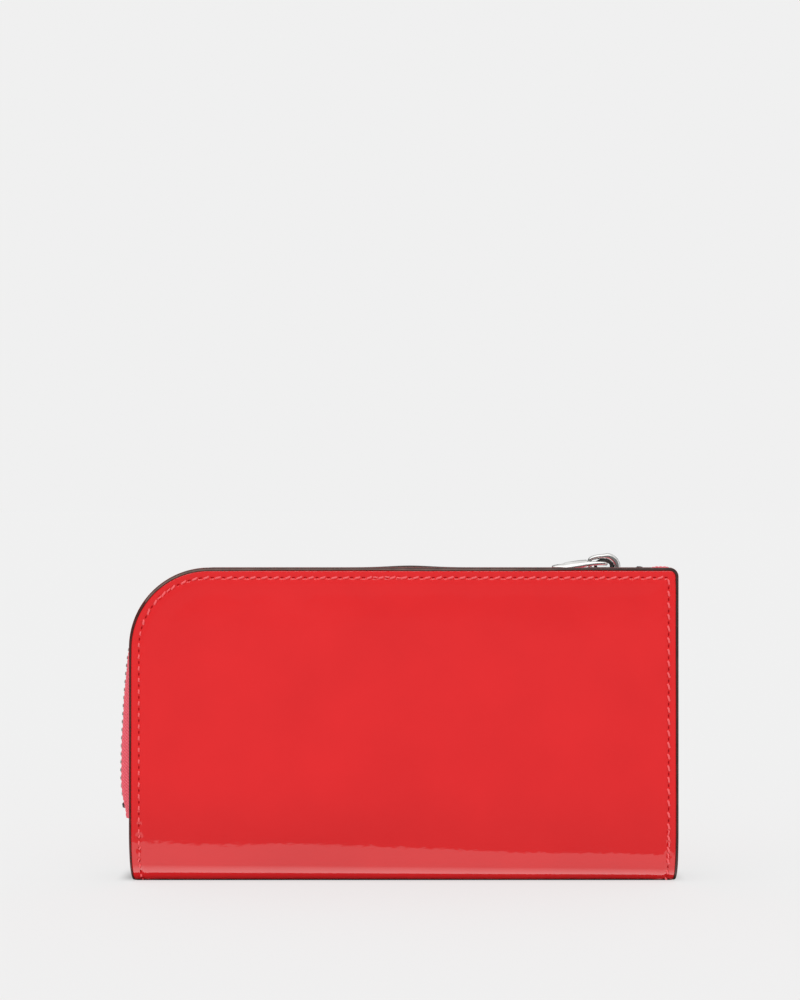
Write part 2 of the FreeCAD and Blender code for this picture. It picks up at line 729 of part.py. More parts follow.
def coin_slider():
    """The coin zip's slider, its crown and its pull, which lies flat along the zip."""
    middle = size("coin_pocket_top") + size("coin_tape_thickness") / 2
    gap = size("coin_coil_radius") + size("coin_slider_gap")
    plate = size("coin_slider_plate")
    levels = (middle + gap, middle + gap + plate, middle - gap - plate, middle - gap)
    place, length = size("coin_slider_place"), size("coin_slider_length")
    slider_body("coin_slider_body", place, levels, (length, size("coin_slider_width")),
                (length - 1, size("coin_slider_inner_width")),
                (size("coin_slider_post_length"), size("coin_slider_post_width")))
    crown("coin_slider_crown", place, levels[1], size("coin_crown_height"), size("coin_crown_bar"),
          size("coin_crown_width"), size("coin_crown_length"))
    half, thick = size("coin_pull_width") / 2, size("coin_pull_thickness")
    right = place - 0.5
    left = right - size("coin_pull_length")
    low = levels[1] + size("coin_pull_gap")
    tab = block(left, right, -half, half, low, low + thick)
    tip_edges = [edge for edge in tab.Edges
                 if edge.BoundBox.XMax < left + 0.01 and edge.BoundBox.ZLength > thick / 2]
    tab = tab.makeFillet(size("coin_pull_round"), tip_edges)
    half_window = size("coin_pull_window_width") / 2
    window = block(right - size("coin_pull_window_end"), right - size("coin_pull_window_start"),
                   -half_window, half_window, low - 1, low + thick + 1)
    shaped("coin_pull", tab.cut(window))


# The wallet ------------------------------------------------------------------------------------

flat_half = "( wallet_depth / 2 - fold_radius )"
box("fold_base",
    ("-1 * wallet_width / 2", f"-1 * {flat_half}", "0"),
    ("wallet_width / 2", flat_half, "leather_thickness + lining_thickness"))
for name, side in SIDES.items():
    fold_round(f"{name}_fold_round", side)
    slab(f"{name}_panel", side, "leather_thickness", "0", "bead_width")
    slab(f"{name}_lining", side, "lining_thickness", "leather_thickness", "bead_width")
    edge_bead(f"{name}_edge_bead", side)
    stitching(f"{name}_stitching", side)
    zip_tape(f"{name}_zip_tape", side)
    zip_teeth(f"{name}_zip_teeth", side)
    zip_stop(f"{name}_top_stop", side, size("zip_right_end") - size("top_stop_place"))
    zip_stop(f"{name}_bottom_stop", side, zip_length() - size("bottom_stop_setback"))
    pockets(name, side)
gusset("left_gusset", -1, "gusset_left_top")
gusset("right_gusset", 1, "gusset_right_top")
box("divider_base_strip",
    ("-1 * coin_pocket_half_width", "-1 * gusset_thickness / 2", "leather_thickness + lining_thickness"),
    ("coin_pocket_half_width", "gusset_thickness / 2", "coin_pocket_bottom - 0.9"))
coin_pocket()
coin_slider()
plates = slider_heights()
outer_plate = (size("slider_length"), size("slider_width"))
inner_plate = (size("slider_length") - 1, size("slider_width") - 1)
post = (size("slider_post_length"), size("slider_post_width"))
slider_body("slider_body", size("slider_place"), plates, outer_plate, inner_plate, post)
crown("slider_crown", size("slider_place"), plates[1], size("crown_height"), size("crown_bar"),
      size("crown_width"), size("crown_length"))
eye = pull_tab()
doc.recompute()

# Checks and files ------------------------------------------------------------------------------

for item in doc.Objects:
    if {"Invalid", "Error"} & set(item.State):
        raise RuntimeError(f"{item.Label} failed to recompute: {item.State}")
os.makedirs("parts", exist_ok=True)
for part in subparts:
    shape = part.Shape
    if shape.isNull() or not shape.isValid() or shape.Volume <= 0:
        raise RuntimeError(f"{part.Label} has no valid solid")
    shape.exportStep(f"parts/{part.Label}.step")
    limits = shape.optimalBoundingBox(False)
    print(f"{part.Label:24s} solids {len(shape.Solids):3d}  volume {shape.Volume:9.1f}  "
          f"x {limits.XMin:7.2f} {limits.XMax:7.2f}  y {limits.YMin:6.2f} {limits.YMax:6.2f}  "
          f"z {limits.ZMin:6.2f} {limits.ZMax:6.2f}")
print(f"pull pin at x {eye[0]:.2f}, z {eye[1]:.2f}; zip {zip_length():.1f} long; {len(subparts)} sub-parts")
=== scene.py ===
"""Zip around wallet in glossy red patent leather, standing on its rolled bottom fold.

Lengths are in millimetres until a mesh is made. The leather, its painted edge and its stitches are
laid out on one flat sheet, x along the wallet and g round its girth (0 under the fold, negative up the
back panel and positive up the front panel), and the sheet is then wrapped round the fold.
"""
import json
import math

import bpy
import numpy as np
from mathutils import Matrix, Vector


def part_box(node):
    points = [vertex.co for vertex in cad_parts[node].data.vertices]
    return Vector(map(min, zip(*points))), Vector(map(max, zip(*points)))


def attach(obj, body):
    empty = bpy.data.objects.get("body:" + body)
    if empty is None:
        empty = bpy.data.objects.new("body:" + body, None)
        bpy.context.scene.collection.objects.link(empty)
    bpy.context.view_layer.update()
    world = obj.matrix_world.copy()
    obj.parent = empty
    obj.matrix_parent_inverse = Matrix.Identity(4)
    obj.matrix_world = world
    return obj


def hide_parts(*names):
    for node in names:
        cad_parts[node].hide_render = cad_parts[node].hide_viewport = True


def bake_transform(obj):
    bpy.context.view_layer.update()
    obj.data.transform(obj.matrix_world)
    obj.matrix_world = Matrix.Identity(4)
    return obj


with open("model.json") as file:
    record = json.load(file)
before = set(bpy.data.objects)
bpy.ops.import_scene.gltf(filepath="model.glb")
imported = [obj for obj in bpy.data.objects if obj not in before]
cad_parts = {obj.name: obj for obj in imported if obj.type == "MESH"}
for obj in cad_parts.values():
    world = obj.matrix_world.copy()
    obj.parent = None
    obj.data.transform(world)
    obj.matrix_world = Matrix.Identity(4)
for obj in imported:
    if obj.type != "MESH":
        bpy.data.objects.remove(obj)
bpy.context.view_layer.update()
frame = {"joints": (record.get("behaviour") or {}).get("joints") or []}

MM = 0.001
BACK, FRONT = -1, 1
SIDES = {"back": BACK, "front": FRONT}


def limits(node):
    """Lowest and highest corner of a CAD node, in millimetres."""
    low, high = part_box(node)
    return np.array(low) / MM, np.array(high) / MM


# Sizes from the frame --------------------------------------------------------------------------

HALF_WIDTH, _, TOP = limits("back_edge_bead")[1]
FACE = -limits("back_panel")[0][1]
FOLD_RADIUS = limits("back_fold_round")[1][2]
FOLD_FLAT = limits("fold_base")[1][1]
LEATHER = limits("back_panel")[1][1] + FACE
LINING_FACE = -limits("back_lining")[1][1]

# Radii of the panels' corners, and the stitches' distance from the edge and from each other.
ZIP_CORNER = 24.0
PLAIN_CORNER = 2.7
STITCH_INSET = 3.0
STITCH_PITCH = 3.5


def fold_section(squareness, steps=900):
    """One quarter of the fold from its flat underside up to the panel, for a fold of radius 1.

    Rows: running length, way out, way up, and the face's direction outwards and downwards.
    """
    angle = np.linspace(0, math.pi / 2, steps)
    out, over = np.sin(angle) ** (2 / squareness), np.cos(angle) ** (2 / squareness)
    length = np.concatenate([[0], np.cumsum(np.hypot(np.diff(out), np.diff(over)))])
    face_out, face_down = out ** (squareness - 1), over ** (squareness - 1)
    size = np.hypot(face_out, face_down)
    return np.array([length, out, 1 - over, face_out / size, face_down / size])


FOLD_SECTION = fold_section(2.8)
QUARTER = FOLD_RADIUS * FOLD_SECTION[0, -1]
GIRTH_TO_PANEL = FOLD_FLAT + QUARTER
GIRTH = GIRTH_TO_PANEL + TOP - FOLD_RADIUS


# Mesh helpers ----------------------------------------------------------------------------------

def noise(seed):
    """A repeatable number from -1 to 1 for each seed."""
    value = np.sin(np.asarray(seed, float) * 12.9898 + 4.1414) * 43758.5453
    return 2 * (value - np.floor(value)) - 1


def smooth_step(value, low, high):
    """0 under low, 1 over high and an even curve between them."""
    share = np.clip((np.asarray(value, float) - low) / (high - low), 0, 1)
    return share * share * (3 - 2 * share)


def hump(value, middle, width):
    """A smooth hump of height 1 at the middle."""
    return np.exp(-((np.asarray(value, float) - middle) / width) ** 2)


def make_mesh(name, points, faces, material, uv=None, sharp=None):
    """A smooth-shaded mesh object from points in millimetres; uv holds one pair for each point."""
    mesh = bpy.data.meshes.new(name)
    mesh.from_pydata((np.asarray(points, float) * MM).tolist(), [], [list(map(int, face)) for face in faces])
    mesh.polygons.foreach_set("use_smooth", np.ones(len(mesh.polygons), bool))
    if uv is not None:
        corner = np.zeros(len(mesh.loops), np.int32)
        mesh.loops.foreach_get("vertex_index", corner)
        layer = mesh.uv_layers.new(name="UVMap")
        layer.data.foreach_set("uv", np.asarray(uv, np.float32)[corner].ravel())
    if sharp is not None:
        mesh.set_sharp_from_angle(angle=math.radians(sharp))
    mesh.materials.append(material)
    mesh.update()
    thing = bpy.data.objects.new(name, mesh)
    bpy.context.scene.collection.objects.link(thing)
    return thing


def grid_faces(rows, columns, wrap_rows=False, wrap_columns=False, start=0):
    """Quads of a grid of points numbered row by row."""
    row = np.arange(rows if wrap_rows else rows - 1)
    column = np.arange(columns if wrap_columns else columns - 1)
    row, column = [part.ravel() for part in np.meshgrid(row, column, indexing="ij")]
    next_row, next_column = (row + 1) % rows, (column + 1) % columns
    corners = [row * columns + column, row * columns + next_column,
               next_row * columns + next_column, next_row * columns + column]
    return np.stack(corners, axis=1) + start


class Builder:
    """Collects points, faces and uv pairs of several parts into one mesh."""

    def __init__(self):
        self.points, self.faces, self.uv, self.count = [], [], [], 0

    def add(self, points, faces, uv=None):
        """Adds one part, with uv pairs of zero if it has none."""
        points = np.asarray(points, float)
        self.points.append(points)
        self.faces += [[int(corner) + self.count for corner in face] for face in faces]
        self.uv.append(np.zeros((len(points), 2)) if uv is None else np.asarray(uv, float))
        self.count += len(points)

    def make(self, name, material, sharp=None):
        """The mesh object of all the parts."""
        return make_mesh(name, np.vstack(self.points), self.faces, material, np.vstack(self.uv), sharp)


def ring_quads(first, second):
    """Quads between two closed rows of point numbers."""
    return np.stack([first, np.roll(first, -1), np.roll(second, -1), second], axis=1)


def grid_border(rows, columns):
    """Point numbers round a grid's border, in the order of sheet_loop."""
    index = np.arange(rows * columns).reshape(rows, columns)
    return np.concatenate([index[:-1, 0], index[-1, :-1], index[:0:-1, -1], index[0, :0:-1]])


def solid_sheet(name, surface, normals, thickness, material, uv, flip=False):
    """A thin closed sheet from a grid of points (rows, columns, 3) thickened along its normals."""
    rows, columns = surface.shape[:2]
    count = rows * columns
    face = surface.reshape(-1, 3)
    back = (surface - normals * thickness).reshape(-1, 3)
    border = grid_border(rows, columns)
    faces = np.vstack([grid_faces(rows, columns), grid_faces(rows, columns, start=count)[:, ::-1],
                       ring_quads(border, border + count)])
    if flip:
        faces = faces[:, ::-1]
    flat = np.asarray(uv, float).reshape(-1, 2)
    return make_mesh(name, np.vstack([face, back]), faces, material, np.vstack([flat, flat]), sharp=50)


def running_length(line):
    """Distance along a line of points, at each of them."""
    return np.concatenate([[0], np.cumsum(np.linalg.norm(np.diff(line, axis=0), axis=1))])


def directions(line):
    """Unit direction of a line of points, at each of them."""
    tangent = np.gradient(line, axis=0)
    return tangent / np.linalg.norm(tangent, axis=1)[:, None]


def loft(rings):
    """Points and faces through closed rings of equally many points, capped at both ends."""
    rings = [np.asarray(ring, float) for ring in rings]
    count = len(rings[0])
    points = np.vstack(rings + [rings[0].mean(0), rings[-1].mean(0)])
    faces = grid_faces(len(rings), count, wrap_columns=True).tolist()
    first, last = len(rings) * count, len(rings) * count + 1
    base = first - count
    for number in range(count):
        after = (number + 1) % count
        faces.append([first, after, number])
        faces.append([last, base + number, base + after])
    return points, faces


def oval(count, half_width, half_height, square=2.0):
    """A closed ring: an ellipse at square 2 and nearly a rectangle at square 6."""
    angle = np.arange(count) * 2 * math.pi / count
    cosine, sine = np.cos(angle), np.sin(angle)
    return np.stack([half_width * np.sign(cosine) * np.abs(cosine) ** (2 / square),
                     half_height * np.sign(sine) * np.abs(sine) ** (2 / square)], axis=1)


def inset_ring(outline, inset):
    """A flat closed outline moved inwards by the inset."""
    tangent = np.roll(outline, -1, axis=0) - np.roll(outline, 1, axis=0)
    tangent /= np.linalg.norm(tangent, axis=1)[:, None] + 1e-9
    inward = np.stack([-tangent[:, 1], tangent[:, 0]], axis=1)
    return outline + inward * inset


def rounded(corners, radii, steps=6):
    """A closed anticlockwise outline with a round of the given radius at each corner."""
    outline = []
    corners = [np.array(corner, float) for corner in corners]
    for number, corner in enumerate(corners):
        before, after = corners[number - 1], corners[(number + 1) % len(corners)]
        to_before = (before - corner) / np.linalg.norm(before - corner)
        to_after = (after - corner) / np.linalg.norm(after - corner)
        half = math.acos(float(np.clip(to_before @ to_after, -1, 1))) / 2
        reach = radii[number] / math.tan(half)
        for share in np.linspace(0, 1, steps):
            start, end = corner + to_before * reach, corner + to_after * reach
            outline.append((1 - share) ** 2 * start + 2 * share * (1 - share) * corner + share ** 2 * end)
    return np.array(outline)


def dense(outline, step):
    """A closed outline with points at even distances of about one step."""
    closed = np.vstack([outline, outline[:1]])
    length = running_length(closed)
    count = max(8, int(round(length[-1] / step)))
    along = np.linspace(0, length[-1], count, endpoint=False)
    return np.stack([np.interp(along, length, closed[:, axis]) for axis in range(2)], axis=1)


def upright(flat, y):
    """Points in space from flat (x, z) points at the depth y, one number or one for each point."""
    return np.stack([flat[:, 0], np.broadcast_to(y, len(flat)), flat[:, 1]], axis=1)


def crosswise(ring, x, y, z):
    """Points in space from a flat (y, z) ring round the place x, y, z."""
    return np.stack([np.full(len(ring), x), y + ring[:, 0], z + ring[:, 1]], axis=1)


def mirrored(half, radii):
    """A rounded closed outline from its corners at negative y, which are repeated at positive y."""
    return rounded(half + [(x, -y) for x, y in half[::-1]], radii + radii[::-1])


def level_plate(builder, outline, middle, levels):
    """A level plate with rounded rims, its outline moved to x = middle; levels are (height, inset)."""
    rings = []
    for height, inset in levels:
        ring = inset_ring(outline, inset)
        rings.append(np.stack([ring[:, 0] + middle, ring[:, 1], np.full(len(ring), height)], axis=1))
    builder.add(*loft(rings))


def pierced_plate(builder, section, height):
    """A plate with a hole.

    Its section is rows of (outline, inset, share) from the hole's top rim, under the plate and back over
    its outside, and height(ring, share) gives the ring's z.
    """
    rings = []
    for outline, inset, share in section:
        ring = inset_ring(outline, inset)
        level = np.broadcast_to(height(ring, share), len(ring))
        rings.append(np.stack([ring[:, 0], ring[:, 1], level], axis=1))
    faces = grid_faces(len(rings), len(rings[0]), wrap_rows=True, wrap_columns=True)[:, ::-1]
    builder.add(np.vstack(rings), faces.tolist())


# The leather's sheet ---------------------------------------------------------------------------

# Points along the sheet's sides, its ends and half of each corner, and passes that even out its grid.
SIDE_STEPS, END_STEPS, CORNER_STEPS, SMALL_CORNER_STEPS = 272, 228, 24, 4
RELAX_ROUNDS = 500


def arc_points(centre, radius, first, last, steps):
    """Points of an arc in the sheet, without its last one; angles in degrees from +x towards +g."""
    angle = np.radians(np.linspace(first, last, steps, endpoint=False))
    return np.stack([centre[0] + radius * np.cos(angle), centre[1] + radius * np.sin(angle)], axis=1)


def line_points(start, end, steps):
    """Points of a straight run in the sheet, without its last one."""
    share = np.linspace(0, 1, steps, endpoint=False)[:, None]
    return np.array(start) * (1 - share) + np.array(end) * share


def sheet_loop(inset):
    """The closed loop at this inset from the sheet's edge, from the middle of the back's zip corner.

    It runs down the left side, over the fold and up the front panel, along its top, down the right
    side and back along the back panel's top.
    """
    large = ZIP_CORNER - inset
    small = max(PLAIN_CORNER - inset, 0.8)
    left, right, end = -HALF_WIDTH + inset, HALF_WIDTH - inset, GIRTH - inset
    side_run = SIDE_STEPS - 2 * CORNER_STEPS
    plain_run = SIDE_STEPS - 2 * SMALL_CORNER_STEPS
    end_run = END_STEPS - CORNER_STEPS - SMALL_CORNER_STEPS
    corner_back = (left + large, -end + large)
    corner_front = (left + large, end - large)
    plain_front = (right - small, end - small)
    plain_back = (right - small, -end + small)
    return np.vstack([
        arc_points(corner_back, large, 225, 180, CORNER_STEPS),
        line_points((left, corner_back[1]), (left, corner_front[1]), side_run),
        arc_points(corner_front, large, 180, 90, 2 * CORNER_STEPS),
        line_points((corner_front[0], end), (plain_front[0], end), end_run),
        arc_points(plain_front, small, 90, 0, 2 * SMALL_CORNER_STEPS),
        line_points((right, plain_front[1]), (right, plain_back[1]), plain_run),
        arc_points(plain_back, small, 0, -90, 2 * SMALL_CORNER_STEPS),
        line_points((plain_back[0], -end), (corner_back[0], -end), end_run),
        arc_points(corner_back, large, 270, 225, CORNER_STEPS),
    ])


def edge_distance(x, g):
    """Distance inwards from the sheet's edge."""
    radius = np.where(x < 0, ZIP_CORNER, PLAIN_CORNER)
    over_x = np.abs(x) - HALF_WIDTH + radius
    over_g = np.abs(g) - GIRTH + radius
    outside = np.hypot(np.maximum(over_x, 0), np.maximum(over_g, 0))
    return radius - outside - np.minimum(np.maximum(over_x, over_g), 0)


# The front panel's sag, except round a rise at this x, and how far the fold's ends draw in below a height.
FRONT_SAG, FRONT_RISE_AT, FRONT_RISE_WIDTH = 0.55, 2.0, 9.0
LEFT_DRAW, RIGHT_DRAW, DRAW_HEIGHT = 0.75, 0.45, 15.0


def wrap(sheet, lift=0.0):
    """Points in space for sheet points (x, g), each lifted off the leather's outer face.

    The ends of the fold draw in a little towards the floor, and the front panel's top edge sits slightly
    low. Nothing goes under the floor.
    """
    x, g = sheet[:, 0], sheet[:, 1]
    side, run = np.where(g < 0, -1.0, 1.0), np.abs(g)
    way = (run - FOLD_FLAT) / FOLD_RADIUS
    out, up, face_out, face_down = (np.interp(way, FOLD_SECTION[0], row) for row in FOLD_SECTION[1:])
    y = side * (np.minimum(run, FOLD_FLAT) + FOLD_RADIUS * out + lift * face_out)
    z = FOLD_RADIUS * up + np.maximum(run - GIRTH_TO_PANEL, 0)
    sag = FRONT_SAG * (1 - hump(x, FRONT_RISE_AT, FRONT_RISE_WIDTH)) * smooth_step(z, 60, TOP) * (g > 0)
    draw = np.where(x < 0, LEFT_DRAW, RIGHT_DRAW) * np.clip(1 - z / DRAW_HEIGHT, 0, 1) ** 2
    height = np.maximum(z - lift * face_down - sag, 0)
    return np.stack([x - draw * x / HALF_WIDTH, y, height], axis=1)


def edge_share(x, g):
    """Width of the painted edge as a share of its section's: narrower down the sides than along the top."""
    run = np.abs(g)
    down_zip_side = 1 - smooth_step(run, GIRTH - ZIP_CORNER - 8, GIRTH - 5)
    down_right_side = 1 - smooth_step(run, GIRTH - 7, GIRTH - 2.5)
    return 0.70 - np.where(x < 0, 0.22 * down_zip_side, 0.1 * down_right_side)


def along_loop(inset):
    """Dense loop at this inset with its running length, for placing things along it."""
    loop = sheet_loop(inset)
    closed = np.vstack([loop, loop[:1]])
    return closed, running_length(closed)


def loop_place(closed, length, distance):
    """Sheet point and direction at a distance along a dense loop."""
    distance = np.asarray(distance, float) % length[-1]
    point = np.stack([np.interp(distance, length, closed[:, axis]) for axis in range(2)], axis=-1)
    ahead = (distance + 0.4) % length[-1]
    next_point = np.stack([np.interp(ahead, length, closed[:, axis]) for axis in range(2)], axis=-1)
    direction = next_point - point
    return point, direction / np.linalg.norm(direction, axis=-1, keepdims=True)


stitch_loop, stitch_length_along = along_loop(STITCH_INSET)
STITCH_COUNT = int(round(stitch_length_along[-1] / STITCH_PITCH))
stitch_step = stitch_length_along[-1] / STITCH_COUNT
hole_points, _ = loop_place(stitch_loop, stitch_length_along, np.arange(STITCH_COUNT) * stitch_step)


def leather_lift(x, g):
    """Height of the patent face over its flat place: rolled edge, stitched groove, puff and slow waves."""
    inset = edge_distance(x, g)
    rim = inset / edge_share(x, g)
    lift = -0.35 * (1 - smooth_step(rim, 0.95, 1.75))
    lift += 0.06 * hump(rim, 2.1, 0.5)
    lift -= 0.16 * hump(inset, STITCH_INSET, 0.55)
    lift += 0.12 * hump(inset, 4.8, 1.7)
    slow = (np.sin(x / 17.0 + 0.7 * np.sin(g / 23.0)) * np.sin(g / 15.0 + 0.9)
            + 0.6 * np.sin(x / 9.5 + g / 31.0 + 2.0) * np.sin(g / 11.0 - x / 40.0))
    lift += 0.035 * slow * smooth_step(inset, 4, 16)
    near = 0.018 * np.sin(x / 2.9 + 1.3 * np.sin(x / 7.1)) * hump(inset, 6.5, 2.6)
    return lift + near


def hole_dip(points):
    """How far the needle holes pull the leather in at these sheet points."""
    dip = np.zeros(len(points))
    nearest = np.full(len(points), 9.0)
    rows = np.where(np.abs(edge_distance(points[:, 0], points[:, 1]) - STITCH_INSET) < 1.6)[0]
    for start in range(0, len(rows), 4000):
        part = rows[start:start + 4000]
        gap = points[part][:, None, :] - hole_points[None, :, :]
        nearest[part] = np.sqrt((gap ** 2).sum(2).min(1))
    dip[rows] = 0.16 * np.exp(-(nearest[rows] / 0.75) ** 2)
    return dip


def relaxed_grid(loop):
    """Grid of points inside a loop: its rows run between the sides and its columns between the ends."""
    front_start, right_start = SIDE_STEPS, SIDE_STEPS + END_STEPS
    back_start = right_start + SIDE_STEPS
    left, front = loop[:front_start + 1], loop[front_start:right_start + 1]
    right = loop[right_start:back_start + 1][::-1]
    back = np.vstack([loop[back_start:], loop[:1]])[::-1]
    v = np.linspace(0, 1, SIDE_STEPS + 1)[:, None, None]
    u = np.linspace(0, 1, END_STEPS + 1)[None, :, None]
    grid = (1 - u) * left[:, None] + u * right[:, None] + (1 - v) * back[None] + v * front[None]
    grid -= ((1 - u) * (1 - v) * left[0] + u * (1 - v) * right[0]
             + (1 - u) * v * left[-1] + u * v * right[-1])
    for _ in range(RELAX_ROUNDS):
        grid[1:-1, 1:-1] = (grid[:-2, 1:-1] + grid[2:, 1:-1] + grid[1:-1, :-2] + grid[1:-1, 2:]) / 4
    return grid


# Insets of the rings of points round the sheet, closest at its rolled edge and its stitched groove.
BAND = [0.0, 0.3, 0.45, 0.57, 0.68, 0.8, 0.95, 1.1, 1.25, 1.4, 1.6, 1.85, 2.1, 2.35, 2.55, 2.72, 2.86, 3.0,
        3.14, 3.28, 3.45, 3.65, 3.9, 4.25, 4.7, 5.3, 6.1, 7.2, 8.5, 10.0]


def ringed_faces(rings, around, rows, columns):
    """Faces of some rings of points round the sheet with a grid (rows, columns) inside them."""
    first = rings * around
    last_ring = np.arange(first - around, first)
    return np.vstack([grid_faces(rings, around, wrap_columns=True),
                      ring_quads(last_ring, grid_border(rows, columns) + first),
                      grid_faces(rows, columns, start=first)[:, ::-1]])


def leather_shell(material):
    """The one-piece leather of both panels and the fold, closed behind with a plain inner face."""
    loops = [sheet_loop(inset) for inset in BAND]
    around = len(loops[0])
    grid = relaxed_grid(loops[-1])
    sheet = np.vstack(loops[:-1] + [grid.reshape(-1, 2)])
    face = wrap(sheet, leather_lift(sheet[:, 0], sheet[:, 1]) - hole_dip(sheet))
    faces = ringed_faces(len(loops) - 1, around, *grid.shape[:2])

    coarse = grid[::4, ::4]
    hem = np.vstack([sheet_loop(0.4), coarse.reshape(-1, 2)])
    rim = np.arange(around) + len(face)
    inner_start = len(face) + around
    border = grid_border(*coarse.shape[:2]) + inner_start
    joins = []
    for number in range(around // 4):
        fine = [rim[(4 * number + step) % around] for step in range(5)]
        joins.append([border[number], border[(number + 1) % len(border)]] + fine[::-1])
    back = grid_faces(*coarse.shape[:2], start=inner_start)
    all_faces = faces.tolist() + ring_quads(rim, np.arange(around)).tolist() + joins + back.tolist()
    points = np.vstack([face, wrap(hem, -LEATHER)])
    return make_mesh("outer_leather", points, all_faces, material, np.vstack([sheet, hem]))


def edge_bead(material):
    """The domed painted edge that runs round both panels and over the ends of the fold."""
    thick = FACE - LINING_FACE
    # (inset, lift) round the bead, from its rim on the leather over the outside to the lining.
    section = [(1.36, -0.36), (1.3, -0.02), (1.16, 0.1), (0.95, 0.16), (0.7, 0.17), (0.45, 0.13),
               (0.22, 0.02), (0.06, -0.22), (0.0, -0.6), (-0.02, -1.0), (0.0, -1.4), (0.08, -1.75),
               (0.25, -1.98), (0.55, -thick - 0.06), (0.95, -thick - 0.06), (1.25, -thick + 0.1),
               (1.3, -thick + 0.4)]
    edge = sheet_loop(0.0)
    along = np.arange(len(edge))
    share = edge_share(edge[:, 0], edge[:, 1])
    share += 0.05 * np.sin(along / 19.0) + 0.03 * np.sin(along / 7.3)
    rings = []
    for inset, lift in section:
        weight = share[:, None] if lift > -0.5 else 1.0
        rings.append(wrap(edge + (sheet_loop(inset) - edge) * weight, lift))
    points = np.stack(rings, axis=1).reshape(-1, 3)
    count, around = len(section), len(edge)
    faces = grid_faces(around, count, wrap_rows=True, wrap_columns=True)[:, ::-1]
    run = np.repeat(along * 0.7, count)
    across = np.tile(np.arange(count) * 0.4, around)
    return make_mesh("edge_paint", points, faces, material, np.stack([run, across], axis=1))


# Stitches --------------------------------------------------------------------------------------

def add_stitch(threads, centre, direction, slant, length, height, radius):
    """One thread stitch: a bowed tube whose ends dive into the leather."""
    along = math.atan2(direction[1], direction[0]) + math.radians(slant)
    ahead = np.array([math.cos(along), math.sin(along)])
    aside = np.array([-ahead[1], ahead[0]])
    stations = np.linspace(-1, 1, 9)
    bow = height * (1 - np.abs(stations) ** 2.6) - 0.34 * np.abs(stations) ** 2.6
    bend = 0.1 * np.sin(stations * math.pi)
    count = 8
    ring_angle = np.arange(count) * 2 * math.pi / count
    sheets, lifts, uv = [], [], []
    for station, rise, sway in zip(stations, bow, bend):
        thick = radius * (1 - 0.35 * abs(station) ** 3)
        flat = centre + ahead * station * length / 2 + aside * sway
        sheets.append(flat + aside * (thick * 1.1 * np.cos(ring_angle))[:, None])
        lifts.append(rise + thick * 0.85 * np.sin(ring_angle))
        uv.append(np.stack([np.full(count, station * length / 2), ring_angle * radius], axis=1))
    points = wrap(np.vstack(sheets), np.concatenate(lifts))
    rings = points.reshape(len(stations), count, 3)
    body, faces = loft(list(rings))
    pairs = np.vstack(uv + [uv[0].mean(0)[None], uv[-1].mean(0)[None]])
    threads.add(body, [face[::-1] for face in faces], pairs)


def add_hole(holes, centre, direction, length, width):
    """A dark almond of painted shade where the needle went through, as a thin patch in the leather's dip."""
    ahead = np.array(direction)
    aside = np.array([-ahead[1], ahead[0]])
    count = 10
    angle = np.arange(count) * 2 * math.pi / count
    rings = []
    for share, rise in ((1.0, -0.03), (0.85, 0.045), (0.4, 0.05)):
        flat = (centre + ahead * (share * length / 2 * np.cos(angle))[:, None]
                + aside * (share * width / 2 * np.sin(angle))[:, None])
        rings.append(wrap(flat, leather_lift(flat[:, 0], flat[:, 1]) - hole_dip(flat) + rise))
    points, faces = loft(rings)
    holes.add(points, [face[::-1] for face in faces])


# Stretches sewn twice, as (x, g) middle and reach along the seam.
DOUBLED = [((x_sign * (HALF_WIDTH - STITCH_INSET), side * (GIRTH_TO_PANEL + 3.0)), 5.5)
           for side in (BACK, FRONT) for x_sign in (-1, 1)]
DOUBLED += [((-70.5, -GIRTH + 7.5), 4.5), ((-3.5, -GIRTH + STITCH_INSET), 4.0)]


def sew(thread, shadow):
    """All the stitches round the sheet, with a patch of painted shade in each needle hole."""
    threads, holes = Builder(), Builder()
    for number in range(STITCH_COUNT):
        jitter = noise(number)
        middle, direction = loop_place(stitch_loop, stitch_length_along, (number + 0.5) * stitch_step)
        hole, hole_direction = loop_place(stitch_loop, stitch_length_along, number * stitch_step)
        tight = middle[0] < -HALF_WIDTH + STITCH_INSET + 0.5
        length = (1.4 if tight else 2.05) * (1 + 0.06 * jitter)
        height = 0.06 if tight else 0.16
        slant = (-12 if tight else -26) + 5 * noise(number + 400)
        add_stitch(threads, middle, direction, slant, length, height, 0.25 if tight else 0.29)
        add_hole(holes, hole, hole_direction, 1.15, 0.5)
        for centre, reach in DOUBLED:
            if np.hypot(*(middle - centre)) < reach:
                shift = 0.5 * noise(number + 77) + 0.55
                aside = np.array([-direction[1], direction[0]])
                place = middle + direction * 1.6 + aside * 0.28 * noise(number + 31)
                add_stitch(threads, place, direction, slant + 30 * shift, length * 0.85, height + 0.12, 0.23)
    return threads.make("stitches", thread), holes.make("needle_hole_shade_patches", shadow)


# The zip ---------------------------------------------------------------------------------------

ZIP_DROP = TOP - limits("back_zip_teeth")[1][2]
ZIP_RIGHT_END = limits("back_zip_tape")[1][0]
CORNER_X = -HALF_WIDTH + ZIP_CORNER
# Radius and last turn, in degrees, of each arc of the zip round the corner and down the side.
ZIP_BENDS = [(25.0, 75.0), (61.3, 84.5), (381.0, 89.3), (50.0, 106.0)]
TAPE_INSET = 1.8
TAPE_DEPTH = 0.55
TAPE_THICKNESS = 0.45
TOOTH_PITCH = 2.45
TOOTH_DEPTH = 2.6
ROW_END = 3.6
BOTTOM_STOP = 3.8


